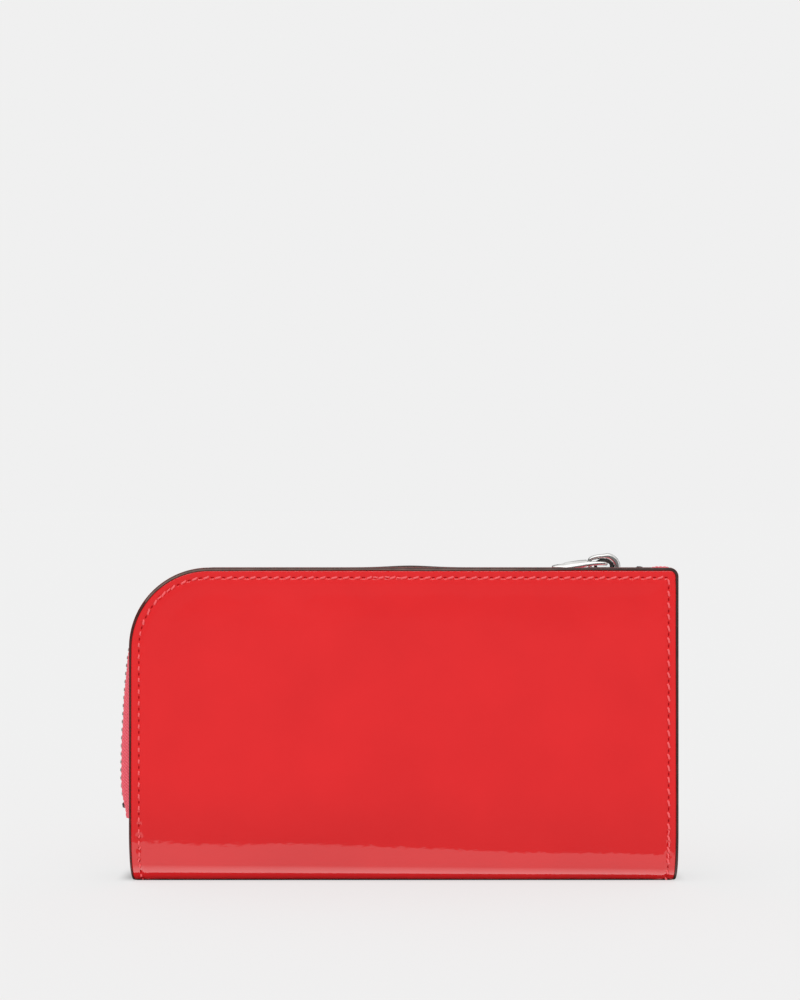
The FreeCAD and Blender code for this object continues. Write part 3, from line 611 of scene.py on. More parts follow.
def zip_arcs():
    """The arcs after the zip's straight top run, as (centre x, centre z, radius, first, last turn)."""
    radius, last = ZIP_BENDS[0]
    arcs = [(CORNER_X, TOP - ZIP_DROP - radius, radius, 0.0, last)]
    for radius, last in ZIP_BENDS[1:]:
        x, z, before, _, turn = arcs[-1]
        gap, angle = before - radius, math.radians(turn)
        arcs.append((x - gap * math.sin(angle), z + gap * math.cos(angle), radius, turn, last))
    return arcs


ZIP_ARCS = zip_arcs()
ZIP_STRAIGHT = ZIP_RIGHT_END - CORNER_X
ZIP_LENGTH = ZIP_STRAIGHT + sum(math.radians(last - first) * radius for _, _, radius, first, last in ZIP_ARCS)


def zip_place(distance):
    """(x, z, turn in radians) of the zip's outer face at this distance from its right end."""
    if distance <= ZIP_STRAIGHT:
        return ZIP_RIGHT_END - distance, TOP - ZIP_DROP, 0.0
    distance -= ZIP_STRAIGHT
    for x, z, radius, first, last in ZIP_ARCS:
        length = math.radians(last - first) * radius
        if distance <= length or last == ZIP_ARCS[-1][4]:
            turn = math.radians(first) + distance / radius
            return x - radius * math.sin(turn), z + radius * math.cos(turn), turn
        distance -= length


def seam_place(distance):
    """(x, z) of the tape's sewn edge, inside the panel's outline, level with that place on the zip."""
    x, z, turn = zip_place(distance)
    radius = ZIP_CORNER - TAPE_INSET
    corner_end = math.radians(ZIP_ARCS[0][4])
    if distance <= ZIP_STRAIGHT:
        return x, TOP - TAPE_INSET
    if turn <= corner_end:
        return CORNER_X - radius * math.sin(turn), TOP - ZIP_CORNER + radius * math.cos(turn)
    last_x = CORNER_X - radius * math.sin(corner_end)
    return last_x + (CORNER_X - radius - last_x) * smooth_step(turn, corner_end, math.radians(84)), z


def zip_tape(name, side, material):
    """One woven tape, arched from its seam on the lining to the edge that carries the teeth."""
    stations = np.arange(0, ZIP_LENGTH, 0.3)
    across = np.linspace(0, 1, 13)
    surface = np.zeros((len(stations), len(across), 3))
    outward = np.zeros_like(surface)
    for row, distance in enumerate(stations):
        x, z, turn = zip_place(distance)
        seam = np.array(seam_place(distance))
        down = np.array([math.sin(turn), -math.cos(turn)])
        past_stop = smooth_step(distance, ZIP_LENGTH - 2.4, ZIP_LENGTH)
        tail = 1 - smooth_step(distance, 3.0, 10.5)
        seam[1] -= 1.4 * (1 - smooth_step(distance, 0, 3.5))
        outward[row, :, [0, 2]] = -down[:, None]
        for column, share in enumerate(across):
            crest = math.sin(min(1, share / 0.6) * math.pi / 2)
            depth = TAPE_DEPTH + 0.5 * smooth_step(share, 0.7, 1) - 0.4 * past_stop - 1.8 * tail
            weave = 0.09 * math.sin(distance * 2 * math.pi / 1.2 + 5 * share)
            ripple = 0.05 * math.sin(distance / 2.3) + weave
            point = seam * (1 - crest) + (np.array([x, z]) + down * (depth - ripple * crest)) * crest
            y = LINING_FACE + (1.15 - LINING_FACE) * share
            surface[row, column] = (point[0], side * y, point[1])
    uv = np.stack(np.meshgrid(stations, across * 8.5, indexing="ij"), axis=2)
    return solid_sheet(name, surface, outward, TAPE_THICKNESS, material, uv, flip=side == FRONT)


# A tooth and a stop from their clamped legs to their heads: (y, half width, half depth).
TOOTH_RINGS = [(3.0, 0.35, 0.8), (2.92, 0.56, 1.12), (2.7, 0.66, 1.28), (1.95, 0.68, 1.3),
               (1.7, 0.62, 1.22), (1.5, 0.47, 1.08), (1.1, 0.42, 1.02), (0.5, 0.47, 1.04),
               (0.12, 0.44, 0.95), (-0.08, 0.25, 0.6)]
STOP_RINGS = [(3.1, 0.5, 1.0), (3.0, 0.8, 1.35), (2.7, 0.92, 1.5), (1.0, 0.92, 1.5), (0.7, 0.8, 1.35),
              (0.6, 0.5, 1.0)]


def add_on_zip(builder, side, distance, section, lift=0.0, spread=0.0):
    """A part lofted across the zip at this distance; its section is rows of (y, half width, half depth)."""
    x, z, turn = zip_place(distance)
    along = np.array([math.cos(turn), math.sin(turn)])
    down = np.array([math.sin(turn), -math.cos(turn)])
    rings = []
    for y, half, deep in section:
        ring = oval(10, half, deep, 4.0)
        flat = (np.array([x, z]) + down * (TOOTH_DEPTH / 2 - lift)
                + ring[:, :1] * along + ring[:, 1:] * down)
        rings.append(upright(flat, side * (y + spread)))
    points, faces = loft(rings)
    if side == BACK:
        faces = [face[::-1] for face in faces]
    builder.add(points, faces)


def zip_teeth(name, side, material):
    """One row of teeth, meshed with the other row except in and past the slider."""
    teeth = Builder()
    first = ZIP_RIGHT_END - limits("back_top_stop")[0][0] + 1.0 + TOOTH_PITCH
    last = ZIP_LENGTH - ROW_END - TOOTH_PITCH
    offset = 0 if side == BACK else TOOTH_PITCH / 2
    slider_x = 0.5 * (limits("slider_body")[0][0] + limits("slider_body")[1][0])
    for place in np.arange(first + offset, last, TOOTH_PITCH):
        x = ZIP_RIGHT_END - place
        spread = 0.75 * smooth_step(x, slider_x - 4, slider_x + 5) if place < ZIP_STRAIGHT else 0.0
        add_on_zip(teeth, side, place, TOOTH_RINGS, spread=min(float(spread), 0.6))
    return teeth.make(name, material, sharp=40)


def zip_stops(name, side, material):
    """The clamps that end the row at both ends."""
    stops = Builder()
    top_place = ZIP_RIGHT_END - 0.5 * (limits("back_top_stop")[0][0] + limits("back_top_stop")[1][0])
    add_on_zip(stops, side, top_place, STOP_RINGS, lift=1.25)
    add_on_zip(stops, side, ZIP_LENGTH - BOTTOM_STOP, STOP_RINGS, lift=0.15)
    return stops.make(name, material, sharp=40)


# Slider ----------------------------------------------------------------------------------------

def slider_outline(length, width):
    """A slider plate from above: narrow closed end at -x, shoulders near the open end at +x."""
    nose, mouth, half = -length / 2, length / 2, width / 2
    corners = [(nose, -0.55 * half), (nose + 0.45 * length, -0.8 * half), (mouth - 1.6, -half),
               (mouth, -0.75 * half)]
    scale = length / 10.4
    return dense(mirrored(corners, [scale * radius for radius in (0.9, 1.4, 1.0, 0.8)]), 0.35 * scale)


def swept_bar(path, half_width, half_thick, sections=14, square=3.0):
    """Points and faces of a bar along a path (x, z) in the wallet's middle plane.

    half_thick may be one number or one for each point of the path.
    """
    tangent = directions(path)
    rings = []
    for place, ahead, thick in zip(path, tangent, np.broadcast_to(half_thick, len(path))):
        ring = oval(sections, half_width, thick, square)
        flat = place + ring[:, 1:] * np.array([-ahead[1], ahead[0]])
        rings.append(upright(flat, ring[:, 0]))
    return loft(rings)


def curve_through(points, steps=8):
    """A smooth open curve through points (Catmull-Rom)."""
    points = np.asarray(points, float)
    padded = np.vstack([2 * points[0] - points[1], points, 2 * points[-1] - points[-2]])
    curve = []
    for number in range(len(points) - 1):
        before, start, end, after = padded[number:number + 4]
        bend = 2 * before - 5 * start + 4 * end - after
        twist = 3 * start - before - 3 * end + after
        for share in np.linspace(0, 1, steps, endpoint=False):
            curve.append(0.5 * (2 * start + (end - before) * share + bend * share ** 2
                                + twist * share ** 3))
    curve.append(points[-1])
    return np.array(curve)


def zip_slider(material, dark):
    """The slider's shield-shaped plates, the teardrop bridge for the pull, and the lock spring inside it."""
    low, high = limits("slider_body")
    middle = 0.5 * (low[0] + high[0])
    length, width = high[0] - low[0], high[1] - low[1]
    bottom, top = low[2], high[2]
    body = Builder()
    level_plate(body, slider_outline(length, width), middle,
                [(top - 1.0, 0.35), (top - 0.92, 0.1), (top - 0.75, 0.0), (top - 0.35, 0.0),
                 (top - 0.14, 0.1), (top - 0.03, 0.3), (top, 0.6), (top + 0.03, 1.3)])
    level_plate(body, slider_outline(length - 1, width - 1), middle,
                [(bottom, 0.3), (bottom + 0.12, 0.06), (bottom + 0.3, 0.0), (bottom + 0.8, 0.0),
                 (bottom + 0.95, 0.1), (bottom + 1.0, 0.3)])
    stations = np.linspace(middle - length * 0.36, middle + length * 0.34, 16)
    reach = stations[-1] - stations.mean()
    for side in (BACK, FRONT):
        rings = []
        for x in stations:
            edge = np.interp(x - middle, [-length / 2, -0.05 * length, length / 2 - 1.6, length / 2],
                             [0.55, 0.8, 1.0, 0.78]) * width / 2
            end = 1 - 0.5 * abs((x - stations.mean()) / reach) ** 6
            rings.append(crosswise(oval(12, 0.2, 0.62 * end, 3.0), x, side * (edge - 0.24), top - 1.1))
        body.add(*loft(rings))
    plates = body.make("slider_plates", material, sharp=35)

    foot = limits("slider_crown")[0][[0, 2]]
    path = curve_through(foot + [(0.75, -0.15), (0.4, 1.3), (0.8, 2.5), (2.4, 3.05), (4.6, 3.25),
                                 (6.3, 3.25), (7.8, 2.3), (8.6, 1.1), (8.85, -0.15)])
    thick = np.interp(np.linspace(0, 1, len(path)), [0, 0.13, 0.3, 0.5, 0.7, 0.85, 1],
                      [0.55, 0.55, 0.62, 0.8, 1.1, 1.15, 1.05])
    crown, lock = Builder(), Builder()
    crown.add(*swept_bar(path, 1.05, thick, sections=22, square=2.1))
    spring = curve_through(foot + [(2.3, -0.2), (2.55, 1.2), (3.9, 2.0), (5.5, 2.05), (6.9, 1.2),
                                   (7.3, -0.2)])
    lock.add(*swept_bar(spring, 0.45, 0.5, sections=10, square=3.5))
    bridge = crown.make("slider_bridge", material, sharp=50)
    return plates, bridge, lock.make("slider_lock_spring", dark, sharp=40)


def zip_pull(material):
    """The pull: a loop through the bridge that broadens into a domed tongue with an eyelet at its tip."""
    low, high = limits("pull_tab")
    joint = next(item for item in frame["joints"] if item["name"] == "pull_swing")
    eye_x, eye_z = joint["pos_m"][0] / MM, joint["pos_m"][2] / MM
    tip = low[0]
    half = (high[1] - low[1]) / 2
    soften = (-1.2, -0.6, 0.0, 0.6, 1.2)

    def height(x, y):
        """Height of the pull's middle layer: bowed along its length and domed across it."""
        places = [tip, tip + 1.5, tip + 3.5, tip + 6, tip + 9, tip + 12, eye_x - 2.2, eye_x]
        rise = np.mean([np.interp(x + shift, places, [-0.95, -0.5, 0.0, 0.35, 0.62, 0.68, 0.3, 0.0])
                        for shift in soften], axis=0)
        dome = np.mean([np.interp(x + shift, [tip, tip + 4, tip + 8, tip + 12, eye_x - 1.5],
                                  [0.5, 1.5, 1.5, 0.9, 0.0]) for shift in soften], axis=0)
        return eye_z + rise - dome * (y / half) ** 2

    def half_thick(x):
        """Half the pull's thickness, less towards its tip."""
        return np.interp(x, [tip, tip + 1.2, tip + 6, eye_x - 5.5, eye_x], [0.26, 0.36, 0.5, 0.58, 0.58])

    def level(ring, share):
        """Height of a ring at a share of the half thickness from the middle layer."""
        return height(ring[:, 0], ring[:, 1]) + share * half_thick(ring[:, 0])

    limb = [(tip + 9.6, -1.98), (eye_x - 4.2, -2.0), (eye_x - 1.4, -2.0), (eye_x - 0.3, -1.75),
            (eye_x + 0.05, -1.1)]
    arm = curve_through(limb + [(eye_x + 0.05, 0.0)] + [(x, -y) for x, y in limb[::-1]], steps=6)
    rings = []
    for place, ahead in zip(arm, directions(arm)):
        ring = oval(14, 0.56, float(half_thick(place[0])), 2.4)
        flat = place + ring[:, :1] * np.array([-ahead[1], ahead[0]])
        rings.append(np.column_stack([flat, height(flat[:, 0], flat[:, 1]) + ring[:, 1]]))
    pull = Builder()
    pull.add(*loft(rings))

    outer = dense(mirrored([(tip, -half * 0.7), (tip + 4, -half), (tip + 10.8, -half * 0.98)],
                           [1.7, 3.0, 0.5]), 0.35)
    eyelet = np.array([tip + 2.9, 0.0])
    angle = np.unwrap(np.arctan2(*(outer - outer.mean(0)).T[::-1]))
    hole = eyelet + 0.95 * np.stack([np.cos(angle) * 1.25, np.sin(angle)], axis=1)
    waist = eyelet + (outer - eyelet) * 0.66
    pierced_plate(pull, [(hole, -0.14, 0.75), (hole, 0.0, 0.45), (hole, 0.0, -0.45), (hole, -0.14, -0.75),
                         (waist, 0.0, -1.0), (outer, 0.35, -1.0), (outer, 0.1, -0.8), (outer, 0.0, -0.35),
                         (outer, 0.0, 0.35), (outer, 0.1, 0.8), (outer, 0.35, 1.0), (waist, 0.0, 1.0)],
                  level)
    return pull.make("zip_pull", material, sharp=45)


# Materials -------------------------------------------------------------------------------------

class Nodes:
    """A small helper that adds and links shader nodes of one material."""

    def __init__(self, name):
        self.material = bpy.data.materials.new(name)
        self.material.use_nodes = True
        self.tree = self.material.node_tree
        self.shader = self.tree.nodes["Principled BSDF"]

    def add(self, kind, links=None, **values):
        """A node; values set its properties or unlinked sockets and links feed its other sockets."""
        node = self.tree.nodes.new(kind)
        for name, value in values.items():
            if hasattr(node, name):
                setattr(node, name, value)
            else:
                node.inputs[name.replace("_", " ")].default_value = value
        for name, source in (links or {}).items():
            self.tree.links.new(source, node.inputs[name])
        return node

    def set(self, **values):
        """Sets the shader's own sockets."""
        for name, value in values.items():
            self.shader.inputs[name.replace("_", " ")].default_value = value

    def link(self, source, socket):
        """Feeds one of the shader's sockets."""
        self.tree.links.new(source, self.shader.inputs[socket])

    def coordinates(self, kind="Object"):
        """Texture coordinates of the piece: Object, UV or Normal."""
        return self.add("ShaderNodeTexCoord").outputs[kind]

    def axis(self, source, letter):
        """One of the three numbers of a vector: X, Y or Z."""
        return self.add("ShaderNodeSeparateXYZ", {"Vector": source}).outputs[letter]

    def scaled(self, source, scale, turn=0.0):
        """Coordinates stretched on each axis and turned by degrees about Z."""
        node = self.add("ShaderNodeMapping", {"Vector": source}, Scale=scale,
                        Rotation=(0, 0, math.radians(turn)))
        return node.outputs["Vector"]

    def noise(self, source, scale, detail=3.0, roughness=0.5):
        """Cloudy noise from 0 to 1; the scale is in cells per metre."""
        node = self.add("ShaderNodeTexNoise", {"Vector": source}, Scale=scale, Detail=detail,
                        Roughness=roughness)
        return node.outputs["Fac"]

    def wave(self, source, scale, direction):
        """Even ribs from 0 to 1 across a direction."""
        node = self.add("ShaderNodeTexWave", {"Vector": source}, bands_direction=direction,
                        wave_profile="SIN", Scale=scale)
        return node.outputs["Fac"]

    def math(self, operation, first, second=0.0):
        """Arithmetic on two values, each a number or a node's output."""
        node = self.add("ShaderNodeMath", operation=operation)
        for number, value in enumerate((first, second)):
            if isinstance(value, (int, float)):
                node.inputs[number].default_value = value
            else:
                self.tree.links.new(value, node.inputs[number])
        return node.outputs[0]

    def mix(self, share, first, second):
        """Two colours mixed by share."""
        node = self.add("ShaderNodeMix", data_type="RGBA")
        for source, socket in ((share, 0), (first, 6), (second, 7)):
            self.tree.links.new(source, node.inputs[socket])
        return node.outputs[2]

    def toned(self, colour, tone):
        """A colour multiplied by a tone."""
        links = {"Vector": colour, "Scale": tone}
        return self.add("ShaderNodeVectorMath", links, operation="SCALE").outputs["Vector"]

    def ramp(self, source, *stops):
        """A colour ramp through two stops of (place, colour)."""
        node = self.add("ShaderNodeValToRGB", {"Fac": source})
        for element, (place, colour) in zip(node.color_ramp.elements, stops):
            element.position = place
            element.color = (*colour, 1)
        return node.outputs["Color"]

    def span(self, source, low, high):
        """A factor from 0 to 1 stretched to run from low to high."""
        node = self.add("ShaderNodeMapRange", {"Value": source}, To_Min=low, To_Max=high)
        return node.outputs["Result"]

    def fade(self, source, start, end, low=0.0, high=1.0):
        """An even curve from low where the source is at start to high where it is at end."""
        node = self.add("ShaderNodeMapRange", {"Value": source}, interpolation_type="SMOOTHSTEP",
                        From_Min=start, From_Max=end, To_Min=low, To_Max=high)
        return node.outputs["Result"]

    def bump(self, height, distance, strength):
        """A normal tilted by a height; the distance is in metres."""
        node = self.add("ShaderNodeBump", {"Height": height}, Strength=strength, Distance=distance)
        return node.outputs["Normal"]


def patent_leather():
    """Lacquered red leather: a smooth clear coat over a faintly grained, slightly uneven red, with shade
    painted into it low down and at the foot.
    """
    net = Nodes("red_patent_leather")
    place = net.coordinates()
    cloud = net.noise(place, 38, 3)
    pore = net.noise(place, 5200, 2, 0.6)
    red = net.ramp(cloud, (0.3, (0.805, 0.0105, 0.0135)), (0.7, (0.865, 0.0130, 0.0160)))
    height = net.axis(place, "Z")
    # Painted shade: the red is darkened below 36 mm and further within 2.6 mm of the floor, where the floor
    # shades the fold.
    painted_shade_low = net.fade(height, 0.006, 0.036, 0.86, 1.0)
    foot = net.fade(height, 0.0, 0.0026, 0.66, 1.0)
    net.link(net.toned(red, net.math("MULTIPLY", painted_shade_low, foot)), "Base Color")
    net.link(net.span(pore, 0.34, 0.5), "Roughness")
    net.set(Coat_Weight=1.0, Coat_Roughness=0.018, Coat_IOR=1.72, IOR=1.35, Specular_IOR_Level=0.12)
    net.link(net.bump(pore, 0.00004, 0.5), "Normal")
    net.link(net.bump(net.noise(place, 620, 2), 0.00003, 0.35), "Coat Normal")
    return net.material


def edge_paint_material():
    """Thick dark brown edge paint with faint ripples, lighter towards the left and paler taupe where it faces
    straight forwards or backwards.

    It is more russet at the far left.
    """
    net = Nodes("dark_edge_paint")
    place = net.coordinates()
    patches = net.noise(place, 320, 3)
    brown = net.ramp(patches, (0.3, (0.034, 0.0135, 0.0100)), (0.75, (0.068, 0.029, 0.022)))
    russet = net.ramp(patches, (0.3, (0.070, 0.0110, 0.0080)), (0.75, (0.105, 0.0190, 0.0135)))
    along = net.axis(place, "X")
    # The brown is lighter towards the left and darker towards the right.
    brown_lighter_left = net.toned(brown, net.fade(along, -0.060, 0.080, 1.3, 0.8))
    facing = net.math("ABSOLUTE", net.axis(net.coordinates("Normal"), "Y"))
    # Paler taupe where the bead faces straight forwards or backwards, in full left of x = 20 mm and fading
    # out by x = 70 mm.
    pale_facing_share = net.fade(facing, 0.86, 1.0, 0.0, 0.8)
    pale_left_share = net.fade(along, 0.020, 0.070, 1.0, 0.15)
    taupe = net.ramp(patches, (0.3, (0.170, 0.105, 0.088)), (0.75, (0.250, 0.165, 0.140)))
    pale_faced_brown = net.mix(net.math("MULTIPLY", pale_facing_share, pale_left_share), brown_lighter_left, taupe)
    net.link(net.mix(net.math("LESS_THAN", along, -0.0775), pale_faced_brown, russet), "Base Color")
    net.link(net.span(net.noise(place, 900, 3), 0.4, 0.62), "Roughness")
    net.set(Coat_Weight=0.12, Coat_Roughness=0.3, Specular_IOR_Level=0.35)
    net.link(net.bump(net.noise(place, 1500, 4), 0.00006, 0.6), "Normal")
    return net.material


def thread_material():
    """Waxed pink-red sewing thread with its twist."""
    net = Nodes("waxed_thread")
    flat = net.coordinates("UV")
    twist = net.wave(net.scaled(flat, (1, 1, 1), 38), 1.5, "X")
    net.link(net.ramp(twist, (0.0, (0.97, 0.08, 0.09)), (0.6, (1.0, 0.165, 0.175))), "Base Color")
    net.link(net.span(net.noise(net.coordinates(), 2600, 3), 0.3, 0.5), "Roughness")
    net.set(Specular_IOR_Level=0.25, Sheen_Weight=0.1, Sheen_Roughness=0.3, Sheen_Tint=(1.0, 0.7, 0.7, 1))
    net.link(net.bump(twist, 0.00003, 0.5), "Normal")
    return net.material


def needle_hole_shade_material():
    """Painted shade: the leather fibre inside a needle hole, coloured dark as if shadowed."""
    net = Nodes("needle_hole")
    fibre = net.noise(net.coordinates(), 4200, 4, 0.7)
    net.link(net.ramp(fibre, (0.3, (0.36, 0.003, 0.005)), (0.7, (0.50, 0.006, 0.009))), "Base Color")
    net.link(net.span(fibre, 0.65, 0.9), "Roughness")
    net.set(Specular_IOR_Level=0.05)
    net.link(net.bump(fibre, 0.0001, 0.8), "Normal")
    return net.material


def tape_material(name, dark, light, rib):
    """Woven zip tape: fine ribs along its length crossed by a herringbone of the weft."""
    net = Nodes(name)
    flat = net.coordinates("UV")
    ribs = net.wave(flat, rib, "Y")
    rising = net.wave(net.scaled(flat, (1, 1, 1), 42), rib * 0.8, "X")
    falling = net.wave(net.scaled(flat, (1, 1, 1), -42), rib * 0.8, "X")
    crossed = net.math("MULTIPLY", rising, ribs)
    weft = net.math("MAXIMUM", crossed, net.math("MULTIPLY", falling, 0.8))
    fuzz = net.noise(net.coordinates(), 2400, 4, 0.7)
    weave = net.math("ADD", net.math("MULTIPLY", weft, 0.8), net.math("MULTIPLY", fuzz, 0.35))
    net.link(net.ramp(weave, (0.15, dark), (0.85, light)), "Base Color")
    net.link(net.span(fuzz, 0.65, 0.92), "Roughness")
    net.set(Specular_IOR_Level=0.3, Sheen_Weight=0.18, Sheen_Roughness=0.45, Sheen_Tint=(1.0, 0.7, 0.7, 1))
    net.link(net.bump(weave, 0.00022, 0.85), "Normal")
    return net.material


def metal_material(name, colour, smoothness, brush):
    """Plated metal: polished with fine tumbling marks and slightly darker cloudy patches."""
    net = Nodes(name)
    place = net.coordinates()
    marks = net.noise(net.scaled(place, (brush, 1, 1)), 1900, 4, 0.6)
    cloud = net.noise(place, 420, 3)
    hollow = tuple(0.82 * part for part in colour)
    net.link(net.ramp(cloud, (0.3, hollow), (0.7, colour)), "Base Color")
    net.link(net.span(marks, smoothness, smoothness + 0.16), "Roughness")
    net.set(Metallic=1.0)
    net.link(net.bump(marks, 0.00003, 0.5), "Normal")
    return net.material


def grained_leather():
    """Semi-matte red leather of the inside pockets, with a small pebble grain."""
    net = Nodes("red_inner_leather")
    place = net.coordinates()
    cell = net.add("ShaderNodeTexVoronoi", {"Vector": place}, feature="SMOOTH_F1", Scale=1150.0,
                   Smoothness=0.6).outputs["Distance"]
    fine = net.noise(place, 3600, 3, 0.6)
    pebble = net.math("ADD", net.math("MULTIPLY", cell, 0.8), net.math("MULTIPLY", fine, 0.35))
    cloud = net.noise(place, 60, 3)
    net.link(net.ramp(cloud, (0.3, (0.50, 0.013, 0.018)), (0.7, (0.60, 0.018, 0.024))), "Base Color")
    net.link(net.span(fine, 0.36, 0.56), "Roughness")
    net.set(Coat_Weight=0.15, Coat_Roughness=0.35)
    net.link(net.bump(pebble, 0.00012, 0.7), "Normal")
    return net.material


def lining_material():
    """Fine plain-woven dark red lining cloth."""
    net = Nodes("woven_lining")
    flat = net.coordinates("UV")
    warp = net.wave(flat, 0.62, "X")
    weft = net.wave(flat, 0.62, "Y")
    weave = net.math("MAXIMUM", net.math("MULTIPLY", warp, 0.95), weft)
    fuzz = net.noise(net.coordinates(), 1800, 4, 0.7)
    height = net.math("ADD", weave, net.math("MULTIPLY", fuzz, 0.4))
    slub = net.noise(net.scaled(net.coordinates(), (1, 1, 6)), 120, 3)
    tone = net.math("ADD", net.math("MULTIPLY", weave, 0.5), net.math("MULTIPLY", slub, 0.5))
    net.link(net.ramp(tone, (0.25, (0.20, 0.008, 0.013)), (0.8, (0.36, 0.015, 0.022))), "Base Color")
    net.link(net.span(fuzz, 0.6, 0.85), "Roughness")
    net.set(Sheen_Weight=0.3, Sheen_Roughness=0.4, Sheen_Tint=(1.0, 0.55, 0.55, 1))
    net.link(net.bump(height, 0.00014, 0.7), "Normal")
    return net.material


def nylon_material():
    """Dyed nylon of the coin zip's coil."""
    net = Nodes("nylon_coil")
    fine = net.noise(net.coordinates(), 2200, 3)
    net.link(net.ramp(fine, (0.3, (0.42, 0.016, 0.022)), (0.7, (0.52, 0.024, 0.030))), "Base Color")
    net.link(net.span(fine, 0.3, 0.45), "Roughness")
    net.set(Coat_Weight=0.2, Coat_Roughness=0.2)
    net.link(net.bump(fine, 0.00004, 0.5), "Normal")
    return net.material


# Inside ----------------------------------------------------------------------------------------

def lining(material):
    """The woven lining cloth that is bonded inside both panels and the fold."""
    loops = [sheet_loop(inset) for inset in (1.35, 2.2, 3.0, 4.2, 6.0, 10.0)]
    coarse = relaxed_grid(loops[-1])[::4, ::4]
    rings = [loop[::4] for loop in loops[:-1]]
    around = len(rings[0])
    sheet = np.vstack(rings + [coarse.reshape(-1, 2)])
    dimple = 0.12 * hump(edge_distance(sheet[:, 0], sheet[:, 1]), STITCH_INSET, 0.7)
    face = ringed_faces(len(rings), around, *coarse.shape[:2])
    edge = np.arange(around)
    points = np.vstack([wrap(sheet, LINING_FACE - FACE + dimple), wrap(sheet, -LEATHER - 0.02)])
    faces = np.vstack([face[:, ::-1], face + len(sheet), ring_quads(edge, edge + len(sheet))])
    return make_mesh("lining_cloth", points, faces, material, np.vstack([sheet, sheet]))


# The furthest right that the right gusset's cloth may reach.
GUSSET_END = 80.0


def pleat(name, x_sign, node, material):
    """One side's V-folded gusset, crisp along its fold and sewn flat to both linings, and its flat size."""
    low, high = limits(node)
    outer, inner = (high[0], low[0]) if x_sign > 0 else (-low[0], -high[0])
    heights = np.linspace(low[2], high[2], 40)
    share = np.linspace(-1, 1, 33)
    loose = 1 - share ** 2
    y = (LINING_FACE - 0.3) * np.sign(share) * np.abs(share) ** 1.06
    surface = np.zeros((len(heights), len(share), 3))
    for row, z in enumerate(heights):
        slack = 0.5 * math.sin(z / 11.0 + (0.8 if x_sign > 0 else 2.2))
        x = inner + 0.9 + (outer - 0.7 - inner - 0.9) * np.sqrt(share ** 2 + 0.0016)
        x += slack * loose + 0.18 * np.sin(z / 3.1 + share * 2.0) * loose
        surface[row] = np.stack([np.minimum(x_sign * x, GUSSET_END), y, np.full(len(share), z)], axis=1)
    uv = np.stack(np.meshgrid(share * 16.0, heights), axis=2)
    normal = np.cross(np.array([0, 0, 1.0]), np.gradient(surface, axis=1))
    normal /= np.linalg.norm(normal, axis=2)[:, :, None]
    if normal[0, 4, 0] * x_sign < 0:
        normal = -normal
    cloth = solid_sheet(name, surface, normal, 0.45, material, uv, flip=x_sign < 0)
    return cloth, (float(running_length(surface[5])[-1]) * MM, float(heights[-1] - heights[0]) * MM)


POCKET_CORNER = 2.2


def pocket_panel(name, node, side, material, notch=0.0):
    """A pocket's leather sheet with a turned and creased top edge, replacing its CAD slab."""
    low, high = limits(node)
    thick = high[1] - low[1]
    face_y = low[1] if side == FRONT else high[1]
    columns = np.concatenate([np.linspace(low[0], low[0] + 3, 7)[:-1],
                              np.linspace(low[0] + 3, high[0] - 3, 73),
                              np.linspace(high[0] - 3, high[0], 7)[1:]])
    near = np.minimum(columns - low[0], high[0] - columns)
    missing = np.maximum(POCKET_CORNER ** 2 - (POCKET_CORNER - near) ** 2, 0)
    drop = np.where(near < POCKET_CORNER, POCKET_CORNER - np.sqrt(missing), 0)
    dip = notch * hump(columns, 0.5 * (low[0] + high[0]), 11)
    depth = np.concatenate([np.linspace(0, 4, 21), np.linspace(4.8, high[2] - low[2], 16)])
    surface = np.zeros((len(depth), len(columns), 3))
    for row, down in enumerate(depth):
        z = high[2] - down - (drop + dip) * (1 - smooth_step(down, 0, 12))
        lift = -0.5 * thick * (1 - smooth_step(down, 0, 0.35)) - 0.07 * hump(down, 2.2, 0.2)
        lift = lift - 0.06 * hump(near, 1.4, 0.25) - 0.4 * thick * (1 - smooth_step(near, 0, 0.3))
        surface[row] = np.stack([columns, face_y - side * lift, z], axis=1)
    normal = np.zeros_like(surface)
    normal[..., 1] = -side
    return solid_sheet(name, surface, normal, thick * 0.55, material, surface[..., [0, 2]], flip=side == BACK)


def thread_row(threads, start, end, facing, pitch=2.6):
    """Straight machine stitches from start to end on a face towards facing (a unit vector)."""
    start, end, facing = (np.array(item, float) for item in (start, end, facing))
    run = end - start
    length = np.linalg.norm(run)
    ahead = run / length
    lean = ahead * math.cos(0.2) + np.cross(facing, ahead) * math.sin(0.2)
    across = np.cross(facing, lean)
    ring = oval(6, 0.17, 0.15)
    for number in range(int(length / pitch)):
        middle = start + ahead * (number + 0.5) * pitch
        rings = []
        for station in (-1, -0.75, -0.3, 0.3, 0.75, 1):
            rise = 0.1 * (1 - station ** 4) - 0.12 * station ** 4
            rings.append(middle + lean * station * 0.36 * pitch + facing * rise
                         + ring[:, :1] * across + ring[:, 1:] * facing)
        threads.add(*loft(rings))


def pockets(name, side, leather, thread):
    """The slip pocket and its four card slots, with the stitches down their sides."""
    threads = Builder()
    slots = [(f"{name}_slip_pocket", 0.0)] + [(f"{name}_card_slot_{number}", 1.1) for number in (1, 2, 3, 4)]
    for node, notch in slots:
        piece = pocket_panel(node + "_leather", node, side, leather, notch)
        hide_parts(node)
        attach(piece, name)
        low, high = limits(node)
        face = low[1] if side == FRONT else high[1]
        floor = low[2] if "slot_4" in node or "slip" in node else high[2] - 11.0 - 0.6
        for x in (low[0] + 1.4, high[0] - 1.4):
            thread_row(threads, (x, face, floor), (x, face, high[2] - 2.6), (0, -side, 0))
    hem = low[2] + 1.2
    thread_row(threads, (low[0] + 2, face, hem), (high[0] - 2, face, hem), (0, -side, 0))
    row = threads.make(f"{name}_pocket_stitches", thread)
    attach(row, name)


